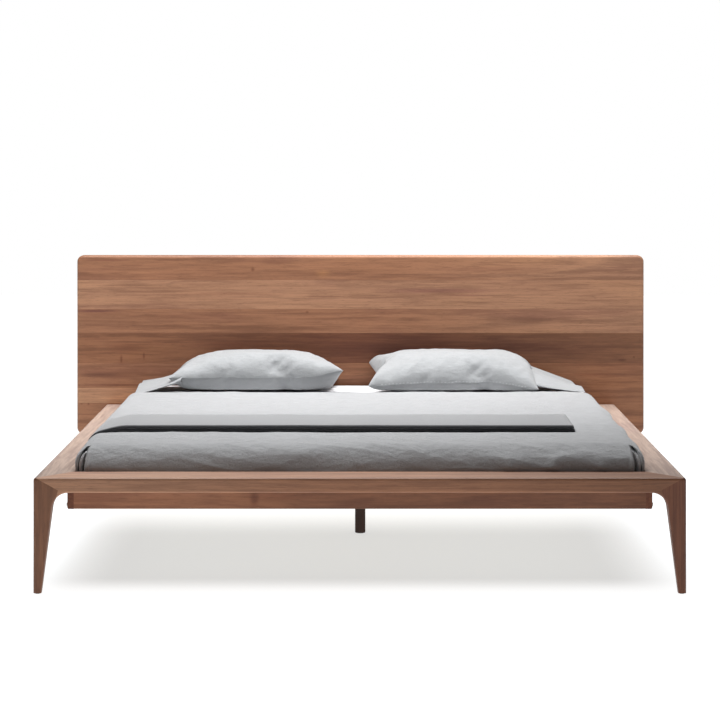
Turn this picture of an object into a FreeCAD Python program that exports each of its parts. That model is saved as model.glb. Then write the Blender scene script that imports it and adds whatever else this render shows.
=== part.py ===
import FreeCAD, Part
import math
import os

import Sketcher
from FreeCAD import Vector

# A low platform bed for a 1800 x 2000 mattress, in solid walnut: a flat headboard glued up from
# seven boards, a wide ledge round the mattress carried on four tapered legs, aprons under the
# ledge, a slatted base on a centre beam, and the bedding.
#
# The row's frame: +X to the right of someone at the foot end, +Y from foot to head, +Z up, the
# origin on the floor under the middle of the bed. Every length is in millimetres.

DIMENSIONS = {
    # Overall
    "FrameWidth": 2030,
    "TotalLength": 2226,
    # Headboard
    "HeadWidth": 2264,
    "HeadTop": 954,
    "HeadBottom": 240,
    "HeadThickness": 40,
    "HeadCorner": 26,
    "HeadFrontRound": 12,
    "HeadBackRound": 4,
    "JointBelowFirst": 856,
    "JointBelowSecond": 740,
    "JointBelowThird": 644,
    "JointBelowFourth": 524,
    "JointBelowFifth": 425,
    "JointBelowSixth": 365,
    # Ledge round the mattress
    "LedgeTop": 360,
    "RailThickness": 46,
    "FrontLedge": 158,
    "SideLedge": 110,
    "RearRailThickness": 24,
    "LedgeRound": 8,
    "FrontCornerRound": 10,
    "RearCornerRound": 16,
    "UnderRound": 6,
    "InnerRound": 3,
    # Aprons under the ledge
    "ApronBottom": 244,
    "ApronThickness": 20,
    "ApronRound": 5,
    # Legs: the inner line leans out as it rises, then an arch runs into the ledge
    "FootWidth": 24.7,
    "LegTaper": 0.1195,
    "ArchRadius": 53.5,
    "SeamArchHeight": 297,
    "SeamTipReach": 77,
    "SeamTipHeight": 322,
    "GlideThickness": 2,
    "GlideRadius": 8,
    "CentreLegSide": 37,
    "CentreLegPlace": 100,
    "CentreGlideRadius": 14,
    # Slatted base
    "CleatWidth": 25,
    "CleatHeight": 20,
    "CleatBottom": 246,
    "BeamWidth": 80,
    "BeamBottom": 247,
    "SlatWidth": 80,
    "SlatThickness": 18,
    "SlatSlack": 2,
    "BracketThickness": 2.5,
    "BracketWidth": 60,
    "BracketReach": 50,
    # Bedding
    "MattressWidth": 1790,
    "MattressLength": 1990,
    "MattressTop": 436,
    "MattressRound": 30,
    "SheetThickness": 2,
    "CoverletThickness": 5,
    "CoverletHead": 707,
    "TuckBottom": 292,
    "BodyGap": 0.3,
    "ThrowFront": -608,
    "ThrowBack": -274,
    "ThrowRight": 716,
    "ThrowThickness": 23,
    "ThrowDrop": 408,
    "PillowFront": 700,
    "PillowBack": 1068,
    "PillowHeight": 158,
    "PillowRound": 62,
    "PillowShell": 4,
    "PillowInner": 44,
    "PillowOuter": 726,
    "PillowShift": -12,
    "FlapReach": 866,
    "FlapThickness": 14,
    # Joinery and fasteners
    "SplineLength": 68,
    "SplineWidth": 24,
    "SplineThickness": 8,
    "SplineBottom": 328,
    "DowelRadius": 6,
    "DowelBottom": 296,
    "DowelTop": 348,
    "BoltRadius": 4,
    "BoltHeadRadius": 7,
    "BoltHeadHeight": 5,
    "InsertRadius": 7,
    "InsertDepth": 25,
    "ConnectorRadius": 3,
    "ConnectorHeadRadius": 6,
    "BarrelRadius": 5,
    "ScrewRadius": 2.2,
    "ScrewHeadRadius": 4.4,
    "ScrewHeadLength": 3,
    "HoleEase": 0.5,
}

SLAT_COUNT = 13
APRON_SCREW_COUNT = 6
CLEAT_SCREW_COUNT = 6
HEAD_BOLT_PLACES = (-820, -280, 280, 820)
HEAD_BOLT_HEIGHTS = (272, 332)
CONNECTOR_HEIGHTS = (257, 299)
SPLINE_PLACE = 0.69
APRON_SCREW_HEAD = 284
APRON_SCREW_END = 60
CLEAT_SCREW_END = 20
DOWEL_REACHES = ((50, 28), (24, 55))
BARREL_REACH = 40
BARREL_LENGTH = 14
CONNECTOR_HEAD_LENGTH = 3
CONNECTOR_OVERRUN = 5
BARREL_THREAD_OVERRUN = 20
BRACKET_SCREW_PLACES = (-18, 18)
CENTRE_BOLT_ENDS = (215, 262)
GLIDE_CLEARANCE = 0.6
THROW_EDGE_ROUND = 5
CASE_END_INSET = 60
APRON_SCREW_LENGTH = 50
CLEAT_SCREW_LENGTH = 38
SLAT_SCREW_LENGTH = 34
BRACKET_SCREW_LENGTH = 16

doc = FreeCAD.newDocument("platform_bed")
sheet = doc.addObject("Spreadsheet::Sheet", "Dims")
for row, (alias, value) in enumerate(DIMENSIONS.items(), start=1):
    sheet.set(f"A{row}", alias)
    sheet.set(f"B{row}", str(value))
    sheet.setAlias(f"B{row}", alias)
doc.recompute()


class Size:
    """A length that keeps both its value and the sheet formula that gives it."""

    def __init__(self, value, formula=None):
        self.value = float(value)
        self.formula = formula or f"({self.value:.6f})"

    def __add__(self, other):
        other = as_size(other)
        return Size(self.value + other.value, f"({self.formula} + {other.formula})")

    def __sub__(self, other):
        other = as_size(other)
        return Size(self.value - other.value, f"({self.formula} - {other.formula})")

    def __mul__(self, other):
        other = as_size(other)
        return Size(self.value * other.value, f"({self.formula} * {other.formula})")

    def __truediv__(self, other):
        other = as_size(other)
        return Size(self.value / other.value, f"({self.formula} / {other.formula})")

    def __neg__(self):
        return self * -1


def as_size(value):
    return value if isinstance(value, Size) else Size(value)


def root(size):
    return Size(math.sqrt(size.value), f"sqrt({size.formula})")


def dim(alias):
    return Size(DIMENSIONS[alias], f"Dims.{alias}")


def bind(item, prop, size):
    item.setExpression(prop, as_size(size).formula)


def place(item, x, y, z):
    for axis, size in zip("xyz", (x, y, z)):
        bind(item, f"Placement.Base.{axis}", size)


# Making pieces --------------------------------------------------------------------------------

def block(name, x, y, z):
    """A box between two places along each axis."""
    item = doc.addObject("Part::Box", name)
    bind(item, "Length", as_size(x[1]) - x[0])
    bind(item, "Width", as_size(y[1]) - y[0])
    bind(item, "Height", as_size(z[1]) - z[0])
    place(item, x[0], y[0], z[0])
    return item


TURN_TO = {
    "x": FreeCAD.Rotation(Vector(0, 1, 0), 90),
    "y": FreeCAD.Rotation(Vector(1, 0, 0), -90),
    "z": FreeCAD.Rotation(),
}


def rod(name, start, axis, radius, length):
    """A cylinder that starts at a place and runs along +X, +Y or +Z."""
    item = doc.addObject("Part::Cylinder", name)
    bind(item, "Radius", radius)
    bind(item, "Height", length)
    item.Placement = FreeCAD.Placement(Vector(), TURN_TO[axis])
    place(item, *start)
    return item


def cone(name, start, axis, radius_start, radius_end, length):
    item = doc.addObject("Part::Cone", name)
    bind(item, "Radius1", radius_start)
    bind(item, "Radius2", radius_end)
    bind(item, "Height", length)
    item.Placement = FreeCAD.Placement(Vector(), TURN_TO[axis])
    place(item, *start)
    return item


def fuse(name, pieces):
    item = doc.addObject("Part::MultiFuse", name)
    item.Shapes = pieces
    item.Refine = True
    return item


def group(name, pieces):
    """Separate solids that share one node."""
    item = doc.addObject("Part::Compound", name)
    item.Links = pieces
    return item


def cut(name, base, tool):
    item = doc.addObject("Part::Cut", name)
    item.Base = base
    item.Tool = tool
    return item


def common(name, first, second):
    item = doc.addObject("Part::Common", name)
    item.Base = first
    item.Tool = second
    return item


def mirror(name, source, normal, base_y=None):
    item = doc.addObject("Part::Mirroring", name)
    item.Source = source
    item.Normal = normal
    if base_y is not None:
        bind(item, "Base.y", base_y)
    return item


def round_edges(name, base, size, chosen):
    """Rounds every edge of base for which chosen(edge) is true."""
    doc.recompute()
    radius = as_size(size).value
    edges = [(number, radius, radius)
             for number, edge in enumerate(base.Shape.Edges, start=1) if chosen(edge)]
    if not edges:
        raise RuntimeError(f"{name}: no edge to round")
    item = doc.addObject("Part::Fillet", name)
    item.Base = base
    item.Edges = edges
    return item


def origin_plane(body, role):
    return next(plane for plane in body.Origin.OriginFeatures if plane.Role == role)


def pin_point(sketch, geometry, end, corner):
    """Fixes one end of a sketch line or arc at a place given by two sizes."""
    for kind, axis, size in (("DistanceX", -2, corner[0]), ("DistanceY", -1, corner[1])):
        size = as_size(size)
        if size.value == 0:
            sketch.addConstraint(Sketcher.Constraint("PointOnObject", geometry, end, axis))
            continue
        rule = Sketcher.Constraint(kind, -1, 1, geometry, end, size.value)
        index = sketch.addConstraint(rule)
        sketch.renameConstraint(index, f"{kind}_{geometry}")
        bind(sketch, f"Constraints.{kind}_{geometry}", size)


def draw_outline(sketch, corners, arcs):
    """Draws a closed outline; arcs maps the number of a side to its centre and radius."""
    points = [Vector(as_size(x).value, as_size(y).value, 0) for x, y in corners]
    ends = []
    for side, start in enumerate(points):
        finish = points[(side + 1) % len(points)]
        if side not in arcs:
            sketch.addGeometry(Part.LineSegment(start, finish))
            ends.append((1, 2))
            continue
        (centre_x, centre_y), radius = arcs[side]
        centre = Vector(as_size(centre_x).value, as_size(centre_y).value, 0)
        circle = Part.Circle(centre, Vector(0, 0, 1), as_size(radius).value)
        angles = [math.atan2(p.y - centre.y, p.x - centre.x) for p in (start, finish)]
        forward = (angles[1] - angles[0]) % (2 * math.pi) < math.pi
        if not forward:
            angles.reverse()
        sketch.addGeometry(Part.ArcOfCircle(circle, *angles))
        ends.append((1, 2) if forward else (2, 1))
    for side in range(len(points)):
        following = (side + 1) % len(points)
        rule = Sketcher.Constraint("Coincident", side, ends[side][1], following, ends[following][0])
        sketch.addConstraint(rule)
    for side, corner in enumerate(corners):
        pin_point(sketch, side, ends[side][0], corner)
    for side, (_, radius) in arcs.items():
        rule = Sketcher.Constraint("Radius", side, as_size(radius).value)
        sketch.renameConstraint(sketch.addConstraint(rule), f"Radius_{side}")
        bind(sketch, f"Constraints.Radius_{side}", radius)


def prism(name, role, corners, depth, at=(0, 0, 0), arcs=None):
    """A body padded from one outline: drawn on XZ it runs along +Y, drawn on YZ along +X."""
    body = doc.addObject("PartDesign::Body", name)
    sketch = body.newObject("Sketcher::SketchObject", f"{name}_outline")
    sketch.AttachmentSupport = (origin_plane(body, role), [""])
    sketch.MapMode = "FlatFace"
    draw_outline(sketch, corners, arcs or {})
    pad = body.newObject("PartDesign::Pad", f"{name}_pad")
    pad.Profile = sketch
    pad.Reversed = role == "XZ_Plane"
    bind(pad, "Length", depth)
    place(body, *at)
    return body


# Places that several pieces share --------------------------------------------------------------

half_width = dim("FrameWidth") / 2
front = -(dim("TotalLength") / 2)
back = dim("TotalLength") / 2
head_front = back - dim("HeadThickness")
frame_middle = (front + head_front) / 2
opening_half = half_width - dim("SideLedge")
opening_front = front + dim("FrontLedge")
rear_rail_front = head_front - dim("RearRailThickness")
ledge_top = dim("LedgeTop")
ledge_under = ledge_top - dim("RailThickness")
apron_outer = opening_half + dim("ApronThickness")
front_apron_face = opening_front - dim("ApronThickness")
beam_top = dim("CleatBottom") + dim("CleatHeight")
slat_top = beam_top + dim("SlatThickness")
ease = dim("HoleEase")
LEFT_RIGHT = (("left", -1), ("right", 1))


def span(sign, near, far):
    """Two distances from the middle as an ascending pair on the left or the right side."""
    near = as_size(near)
    far = as_size(far)
    return (near, far) if sign > 0 else (-far, -near)


def straight_edge(edge, axis):
    """True where an edge is straight and runs along the axis."""
    ends = [vertex.Point for vertex in edge.Vertexes]
    if len(ends) != 2 or not isinstance(edge.Curve, (Part.Line, Part.LineSegment)):
        return False
    run = (ends[1] - ends[0]).normalize()
    return abs(getattr(run, axis)) > 0.999


def edge_on(edge, axis, size, tolerance=0.05):
    """True where the whole edge lies at one place along the axis."""
    box = edge.BoundBox
    low = getattr(box, f"{axis.upper()}Min")
    high = getattr(box, f"{axis.upper()}Max")
    value = as_size(size).value
    return abs(low - value) < tolerance and abs(high - value) < tolerance


# Headboard -------------------------------------------------------------------------------------

def headboard_panel():
    """The whole panel before it is divided into its glued boards."""
    half = dim("HeadWidth") / 2
    corner = dim("HeadCorner")
    low = dim("HeadBottom")
    high = dim("HeadTop")
    corners = [
        (-half + corner, low), (half - corner, low), (half, low + corner), (half, high - corner),
        (half - corner, high), (-half + corner, high), (-half, high - corner),
        (-half, low + corner),
    ]
    arcs = {
        1: ((half - corner, low + corner), corner),
        3: ((half - corner, high - corner), corner),
        5: ((-half + corner, high - corner), corner),
        7: ((-half + corner, low + corner), corner),
    }
    panel = prism("headboard_panel", "XZ_Plane", corners, dim("HeadThickness"),
                  at=(0, head_front, 0), arcs=arcs)
    front_rounded = round_edges("headboard_front_rounded", panel, dim("HeadFrontRound"),
                                lambda edge: edge_on(edge, "y", head_front))
    return round_edges("headboard_rounded", front_rounded, dim("HeadBackRound"),
                       lambda edge: edge_on(edge, "y", back))


def headboard_boards():
    """Seven boards, the top one first; the lowest holds the bolts to the frame."""
    joints = [dim(f"JointBelow{word}")
              for word in ("First", "Second", "Third", "Fourth", "Fifth", "Sixth")]
    heights = [dim("HeadTop") + 1, *joints, dim("HeadBottom") - 1]
    panel = headboard_panel()
    boards = []
    for number, (high, low) in enumerate(zip(heights, heights[1:]), start=1):
        slice_block = block(f"headboard_slice_{number}",
                            (-dim("HeadWidth"), dim("HeadWidth")), (front, back + 1), (low, high))
        boards.append(common(f"headboard_board_{number}_raw", panel, slice_block))
    holes = group("insert_holes", [
        rod(f"insert_hole_{index}", (x, head_front, z), "y", dim("InsertRadius"),
            dim("InsertDepth"))
        for index, (x, z) in enumerate(head_bolt_places(), start=1)
    ])
    boards[-1] = cut("headboard_board_7_drilled", boards[-1], holes)
    return {f"headboard_board_{number}": board for number, board in enumerate(boards, start=1)}


def head_bolt_places():
    return [(x, z) for z in HEAD_BOLT_HEIGHTS for x in HEAD_BOLT_PLACES]


def headboard_fixings():
    """Hexagon bolts through the rear rail, and the threaded inserts that they screw into."""
    bolts = []
    inserts = []
    for index, (x, z) in enumerate(head_bolt_places(), start=1):
        shank_length = dim("RearRailThickness") + dim("InsertDepth") - 3
        shank = rod(f"head_bolt_shank_{index}", (x, rear_rail_front, z), "y", dim("BoltRadius"),
                    shank_length)
        head = rod(f"head_bolt_head_{index}", (x, rear_rail_front - dim("BoltHeadHeight"), z),
                   "y", dim("BoltHeadRadius"), dim("BoltHeadHeight"))
        bolts.append(fuse(f"head_bolt_{index}", [shank, head]))
        sleeve = rod(f"insert_sleeve_{index}", (x, head_front, z), "y", dim("InsertRadius"),
                     dim("InsertDepth"))
        bore = rod(f"insert_bore_{index}", (x, head_front - 1, z), "y",
                   dim("BoltRadius") + ease / 5, dim("InsertDepth") + 2)
        inserts.append(cut(f"insert_{index}", sleeve, bore))
    return {
        "headboard_bolts": group("headboard_bolts_group", bolts),
        "headboard_inserts": group("headboard_inserts_group", inserts),
    }


# Legs and ledge --------------------------------------------------------------------------------

def leg_lines():
    """The leg's inner line and its arch, as seen from the foot end or from the side."""
    lean = root(dim("LegTaper") * dim("LegTaper") + 1)
    radius = dim("ArchRadius")
    centre_height = ledge_under - radius
    meeting = centre_height + radius * dim("LegTaper") / lean
    meeting_reach = dim("FootWidth") + dim("LegTaper") * meeting
    centre_reach = meeting_reach + radius / lean
    return meeting_reach, meeting, centre_reach, centre_height


def leg_block():
    """A corner post, tapered and arched towards both rails, up to the ledge's top."""
    meeting_reach, meeting, centre_reach, centre_height = leg_lines()
    foot = dim("GlideThickness")
    corners = [
        (0, foot), (dim("FootWidth"), foot), (meeting_reach, meeting),
        (centre_reach, ledge_under), (centre_reach, ledge_top), (0, ledge_top),
    ]
    arcs = {2: ((centre_reach, centre_height), dim("ArchRadius"))}
    corner_place = (-half_width, front, 0)
    from_foot_end = prism("leg_front_shape", "XZ_Plane", corners, centre_reach, corner_place, arcs)
    from_side = prism("leg_side_shape", "YZ_Plane", corners, centre_reach, corner_place, arcs)
    return common("leg_block", from_foot_end, from_side)


def leg_zone():
    """The space that belongs to the front left leg: its top is cut to a V in both directions."""
    _, _, centre_reach, centre_height = leg_lines()
    radius = dim("ArchRadius")
    rise = dim("SeamArchHeight") - centre_height
    arch_reach = centre_reach - root(radius * radius - rise * rise)
    slope = (ledge_top - dim("SeamTipHeight")) / (dim("SeamTipReach") - dim("LedgeRound"))
    margin = 20
    shoulder = ledge_top + slope * (dim("LedgeRound") + margin)
    corners = [
        (0, -margin), (arch_reach + margin, -margin),
        (arch_reach + margin, dim("SeamArchHeight")),
        (dim("SeamTipReach") + margin, dim("SeamTipHeight")), (0, shoulder),
    ]
    at = (-half_width - margin, front - margin, 0)
    deep = dim("SeamTipReach") + 2 * margin
    from_foot_end = prism("leg_zone_front", "XZ_Plane", corners, deep, at)
    from_side = prism("leg_zone_side", "YZ_Plane", corners, deep, at)
    return common("leg_zone", from_foot_end, from_side)


def four_corners(name, source):
    """A front left piece and its mirror images at the other three corners."""
    front_right = mirror(f"{name}_front_right", source, Vector(1, 0, 0))
    rear_left = mirror(f"{name}_rear_left", source, Vector(0, 1, 0), frame_middle)
    rear_right = mirror(f"{name}_rear_right", front_right, Vector(0, 1, 0), frame_middle)
    return {"front_left": source, "front_right": front_right, "rear_left": rear_left,
            "rear_right": rear_right}


def on_outer_side(edge):
    return (edge_on(edge, "y", front) or edge_on(edge, "x", half_width)
            or edge_on(edge, "x", -half_width))


def frame_blank():
    """The ledge and its legs as one rounded shape, before it is divided along its seams."""
    opening = block("mattress_opening", (-opening_half, opening_half),
                    (opening_front, head_front + 1), (ledge_under - 1, ledge_top + 1))
    ledge = cut("ledge_ring", block("ledge_block", (-half_width, half_width),
                                    (front, head_front), (ledge_under, ledge_top)), opening)
    legs = four_corners("leg_block", leg_block())
    blank = fuse("frame_blank", [ledge, *legs.values()])
    foot = dim("GlideThickness")

    def outer_corner(edge, y):
        return (straight_edge(edge, "z") and edge_on(edge, "y", y)
                and (edge_on(edge, "x", half_width) or edge_on(edge, "x", -half_width)))

    def lower_outer(edge):
        return (on_outer_side(edge) and not straight_edge(edge, "z")
                and not edge_on(edge, "z", ledge_top) and not edge_on(edge, "z", foot)
                and not edge_on(edge, "y", head_front))

    blank = round_edges("front_corners_rounded", blank, dim("FrontCornerRound"),
                        lambda edge: outer_corner(edge, front))
    blank = round_edges("rear_corners_rounded", blank, dim("RearCornerRound"),
                        lambda edge: outer_corner(edge, head_front))
    blank = round_edges("under_edges_rounded", blank, dim("UnderRound"), lower_outer)
    return round_edges("top_edges_rounded", blank, dim("LedgeRound"), top_outer_edge)


def top_outer_edge(edge):
    if not edge_on(edge, "z", ledge_top) or edge_on(edge, "y", head_front):
        return False
    box = edge.BoundBox
    reach = max(abs(box.XMin), abs(box.XMax))
    return reach > half_width.value - 1 or edge_on(edge, "y", front)


def top_inner_edge(edge):
    return edge_on(edge, "z", ledge_top) and (
        edge_on(edge, "x", opening_half) or edge_on(edge, "x", -opening_half)
        or edge_on(edge, "y", opening_front))


def front_rail_zone():
    """The wedge of the ledge that the front rail takes between its two mitres."""
    item = doc.addObject("Part::Wedge", "front_rail_zone")
    bind(item, "Ymin", front)
    bind(item, "Ymax", opening_front)
    for prop, size in (("Xmin", -half_width), ("Xmax", half_width), ("Zmin", 0),
                       ("X2min", -opening_half), ("X2max", opening_half), ("Z2min", 0)):
        bind(item, prop, size)
    bind(item, "Zmax", ledge_top + 1)
    bind(item, "Z2max", ledge_top + 1)
    return item


def dowel_places():
    """Places of the two dowels of each leg, one into each rail that meets over it."""
    places = []
    for reach_x, reach_y in DOWEL_REACHES:
        for sign in (-1, 1):
            x = (half_width - reach_x) * sign
            places.append((x, front + reach_y))
            places.append((x, head_front - reach_y))
    return places


def dowels(name, grow):
    """Upright dowels, or with some growth the bores that take them."""
    low = dim("DowelBottom") - grow
    high = dim("DowelTop") + grow
    return group(name, [
        rod(f"{name}_{index}", (x, y, low), "z", dim("DowelRadius") + grow / 5, high - low)
        for index, (x, y) in enumerate(dowel_places(), start=1)
    ])


def splines(name, grow):
    """A loose tongue across each front mitre, a box turned to the mitre's line."""
    tongues = []
    run = Vector(dim("SideLedge").value, dim("FrontLedge").value, 0)
    mitre = math.degrees(math.atan2(run.y, run.x))
    middle = run * SPLINE_PLACE
    for side, sign in LEFT_RIGHT:
        item = doc.addObject("Part::Box", f"{name}_{side}")
        bind(item, "Length", dim("SplineLength") + 2 * grow)
        bind(item, "Width", dim("SplineWidth") + 2 * grow)
        bind(item, "Height", dim("SplineThickness") + 2 * grow)
        turn = FreeCAD.Rotation(Vector(0, 0, 1), mitre if sign < 0 else 180 - mitre)
        centre = Vector(sign * (half_width.value - middle.x), front.value + middle.y,
                        dim("SplineBottom").value - grow)
        offset = Vector(dim("SplineLength").value / 2 + grow,
                        dim("SplineWidth").value / 2 + grow, 0)
        item.Placement = FreeCAD.Placement(centre - turn.multVec(offset), turn)
        tongues.append(item)
    return group(name, tongues)


def legs_and_rails():
    blank = frame_blank()
    zones = four_corners("leg_zone", leg_zone())
    bores = dowels("dowel_bores", ease)
    legs = {
        f"{corner}_leg": cut(f"{corner}_leg_drilled",
                             common(f"{corner}_leg_raw", blank, zone), bores)
        for corner, zone in zones.items()
    }
    rails_only = cut("rails_without_legs", blank, fuse("leg_zones", list(zones.values())))
    slots = splines("spline_slots", 0.2)
    drilled = cut("rails_slotted", cut("rails_drilled", rails_only, bores), slots)
    front_zone = front_rail_zone()
    sides = cut("side_rails_raw", drilled, front_zone)
    pieces = {
        "front_rail": round_edges("front_rail_rounded", common("front_rail_raw", drilled, front_zone),
                                  dim("InnerRound"), top_inner_edge),
    }
    for side, sign in LEFT_RIGHT:
        half_space = block(f"{side}_half", span(sign, 0, dim("FrameWidth")),
                           (front - 1, head_front + 1), (0, ledge_top + 1))
        pieces[f"{side}_rail"] = round_edges(f"{side}_rail_rounded",
                                             common(f"{side}_rail_raw", sides, half_space),
                                             dim("InnerRound"), top_inner_edge)
    pieces.update(legs)
    pieces["leg_dowels"] = dowels("leg_dowels_group", 0)
    pieces["mitre_splines"] = splines("mitre_splines_group", 0)
    return pieces, blank


# Aprons and rear rail --------------------------------------------------------------------------

def connector_ends():
    """Each corner's side, sign and the middle of the board that the connector bolts enter."""
    rear_middle = rear_rail_front + dim("RearRailThickness") / 2
    front_middle = front_apron_face + dim("ApronThickness") / 2
    return [(side, sign, end, y) for side, sign in LEFT_RIGHT
            for end, y in (("front", front_middle), ("rear", rear_middle))]


def connectors(name, grow=0):
    """Bolts through the side aprons into the ends of the front apron and the rear rail.

    Returns the bolts and their barrel nuts, or with some growth the bores that take them.
    """
    bolts = []
    barrels = []
    radius = dim("ConnectorRadius") + grow
    head_radius = dim("ConnectorHeadRadius") if grow == 0 else radius
    for side, sign, end, y in connector_ends():
        for z in CONNECTOR_HEIGHTS:
            tag = f"{name}_{side}_{end}_{z}"
            inner = opening_half - BARREL_REACH
            outer = apron_outer + CONNECTOR_HEAD_LENGTH
            tip = inner - CONNECTOR_OVERRUN
            shank = rod(f"{tag}_shank", (span(sign, tip, outer)[0], y, z), "x", radius,
                        outer - tip)
            head = rod(f"{tag}_head", (span(sign, apron_outer, outer)[0], y, z), "x",
                       head_radius, CONNECTOR_HEAD_LENGTH)
            bolts.append(fuse(f"{tag}_bolt", [shank, head]))
            barrel = rod(f"{tag}_barrel", (inner * sign, y - BARREL_LENGTH / 2, z), "y",
                         dim("BarrelRadius") + grow / 5, BARREL_LENGTH)
            if grow == 0:
                far = inner - BARREL_THREAD_OVERRUN
                thread = rod(f"{tag}_thread", (span(sign, far, outer)[0], y, z), "x",
                             radius + ease / 10, outer - far)
                barrel = cut(f"{tag}_nut", barrel, thread)
            barrels.append(barrel)
    return bolts, barrels


def screw(name, head_place, axis, length, towards, grow=0):
    """A countersunk screw, its head flush at a place and its point along + or - the axis.

    With some growth it is the hole that such a screw fits.
    """
    x, y, z = (as_size(size) for size in head_place)
    head_length = dim("ScrewHeadLength")
    radius = dim("ScrewRadius") + grow
    head_radius = dim("ScrewHeadRadius") + grow
    length = as_size(length) + grow
    shift = {"x": 0, "y": 1, "z": 2}[axis]
    start = [x, y, z]
    if towards < 0:
        start[shift] = start[shift] - length
        shank = rod(f"{name}_shank", start, axis, radius, length)
        head_start = [x, y, z]
        head_start[shift] = head_start[shift] - head_length
        head = cone(f"{name}_head", head_start, axis, radius, head_radius, head_length)
    else:
        shank = rod(f"{name}_shank", start, axis, radius, length)
        head = cone(f"{name}_head", start, axis, head_radius, radius, head_length)
    return fuse(name, [shank, head])


def even(count, low, high):
    """Evenly spread places, each in the middle of its share of the span."""
    low = as_size(low)
    step = (as_size(high) - low) / count
    return [low + step * (index + 0.5) for index in range(count)]


def apron_screw_places():
    middle = opening_half + dim("ApronThickness") / 2
    places = []
    for _, sign in LEFT_RIGHT:
        for y in even(APRON_SCREW_COUNT, opening_front, rear_rail_front - APRON_SCREW_END):
            places.append((middle * sign, y))
    for x in even(APRON_SCREW_COUNT, -opening_half + APRON_SCREW_END,
                  opening_half - APRON_SCREW_END):
        places.append((x, front_apron_face + dim("ApronThickness") / 2))
    return places


def upright_holes(name):
    """Stepped holes up through the aprons for the screws that hold them to the ledge."""
    counterbore = dim("ScrewHeadRadius") + ease
    holes = []
    for index, (x, y) in enumerate(apron_screw_places(), start=1):
        wide = rod(f"{name}_wide_{index}", (x, y, dim("ApronBottom") - 1), "z", counterbore,
                   APRON_SCREW_HEAD - DIMENSIONS["ApronBottom"] + 1)
        seat = screw(f"{name}_seat_{index}", (x, y, APRON_SCREW_HEAD), "z",
                     APRON_SCREW_LENGTH, 1, ease / 5)
        holes.append(fuse(f"{name}_{index}", [wide, seat]))
    return group(name, holes)


def cleat_screw_places():
    """Heads of the screws through the cleats, on each cleat's inner face."""
    height = dim("CleatBottom") + dim("CleatHeight") / 2
    return [((opening_half - dim("CleatWidth")) * sign, y, height, sign)
            for _, sign in LEFT_RIGHT
            for y in even(CLEAT_SCREW_COUNT, opening_front + CLEAT_SCREW_END,
                          rear_rail_front - CLEAT_SCREW_END)]


def cleat_screws(name, grow=0):
    return group(name, [
        screw(f"{name}_{index}", (x, y, z), "x", CLEAT_SCREW_LENGTH, sign, grow)
        for index, (x, y, z, sign) in enumerate(cleat_screw_places(), start=1)
    ])


def aprons_and_rear_rail(blank):
    low = dim("ApronBottom")
    bolts, barrels = connectors("bore", DIMENSIONS["HoleEase"])
    connector_bores = group("connector_bores", bolts + barrels)
    screw_holes = upright_holes("apron_screw_holes")
    pieces = {}
    for side, sign in LEFT_RIGHT:
        board = block(f"{side}_apron_board", span(sign, opening_half, apron_outer),
                      (front_apron_face, head_front), (low, ledge_under))
        rounded = round_edges(
            f"{side}_apron_rounded", board, dim("ApronRound"),
            lambda edge, at=apron_outer * sign: edge_on(edge, "z", low) and edge_on(edge, "x", at))
        coped = cut(f"{side}_apron_coped", rounded, blank)
        bored = cut(f"{side}_apron_bored", coped, connector_bores)
        screwed = cut(f"{side}_apron_screwed", bored, screw_holes)
        pieces[f"{side}_apron"] = cut(f"{side}_apron_done", screwed,
                                      cleat_screws(f"{side}_apron_cleat_holes", ease / 5))
    board = block("front_apron_board", (-opening_half, opening_half),
                  (front_apron_face, opening_front), (low, ledge_under))
    rounded = round_edges("front_apron_rounded", board, dim("InnerRound"),
                          lambda edge: edge_on(edge, "z", low) and edge_on(edge, "y", front_apron_face))
    pieces["front_apron"] = cut("front_apron_done",
                                cut("front_apron_bored", rounded, connector_bores), screw_holes)
    rear = block("rear_rail_board", (-opening_half, opening_half), (rear_rail_front, head_front),
                 (low, ledge_top))
    bolt_holes = group("head_bolt_holes", [
        rod(f"head_bolt_hole_{index}", (x, rear_rail_front - 1, z), "y",
            dim("BoltRadius") + ease, dim("RearRailThickness") + 2)
        for index, (x, z) in enumerate(head_bolt_places(), start=1)
    ])
    pieces["rear_rail"] = cut("rear_rail_done", cut("rear_rail_bored", rear, connector_bores),
                              bolt_holes)
    bolts, barrels = connectors("connector")
    pieces["connector_bolts"] = group("connector_bolts_group", bolts)
    pieces["barrel_nuts"] = group("barrel_nuts_group", barrels)
    pieces["apron_screws"] = group("apron_screws_group", [
        screw(f"apron_screw_{index}", (x, y, APRON_SCREW_HEAD), "z", APRON_SCREW_LENGTH, 1)
        for index, (x, y) in enumerate(apron_screw_places(), start=1)
    ])
    return pieces, screw_holes


# Slatted base ----------------------------------------------------------------------------------

def slat_places():
    return even(SLAT_COUNT, opening_front, rear_rail_front)


def slat_screws(name, grow=0):
    """A screw near each end of each slat, down into its cleat."""
    reach = opening_half - dim("CleatWidth") / 2
    return group(name, [
        screw(f"{name}_{side}_{index}", (reach * sign, y, slat_top), "z", SLAT_SCREW_LENGTH, -1,
              grow)
        for index, y in enumerate(slat_places(), start=1) for side, sign in LEFT_RIGHT
    ])


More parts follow.
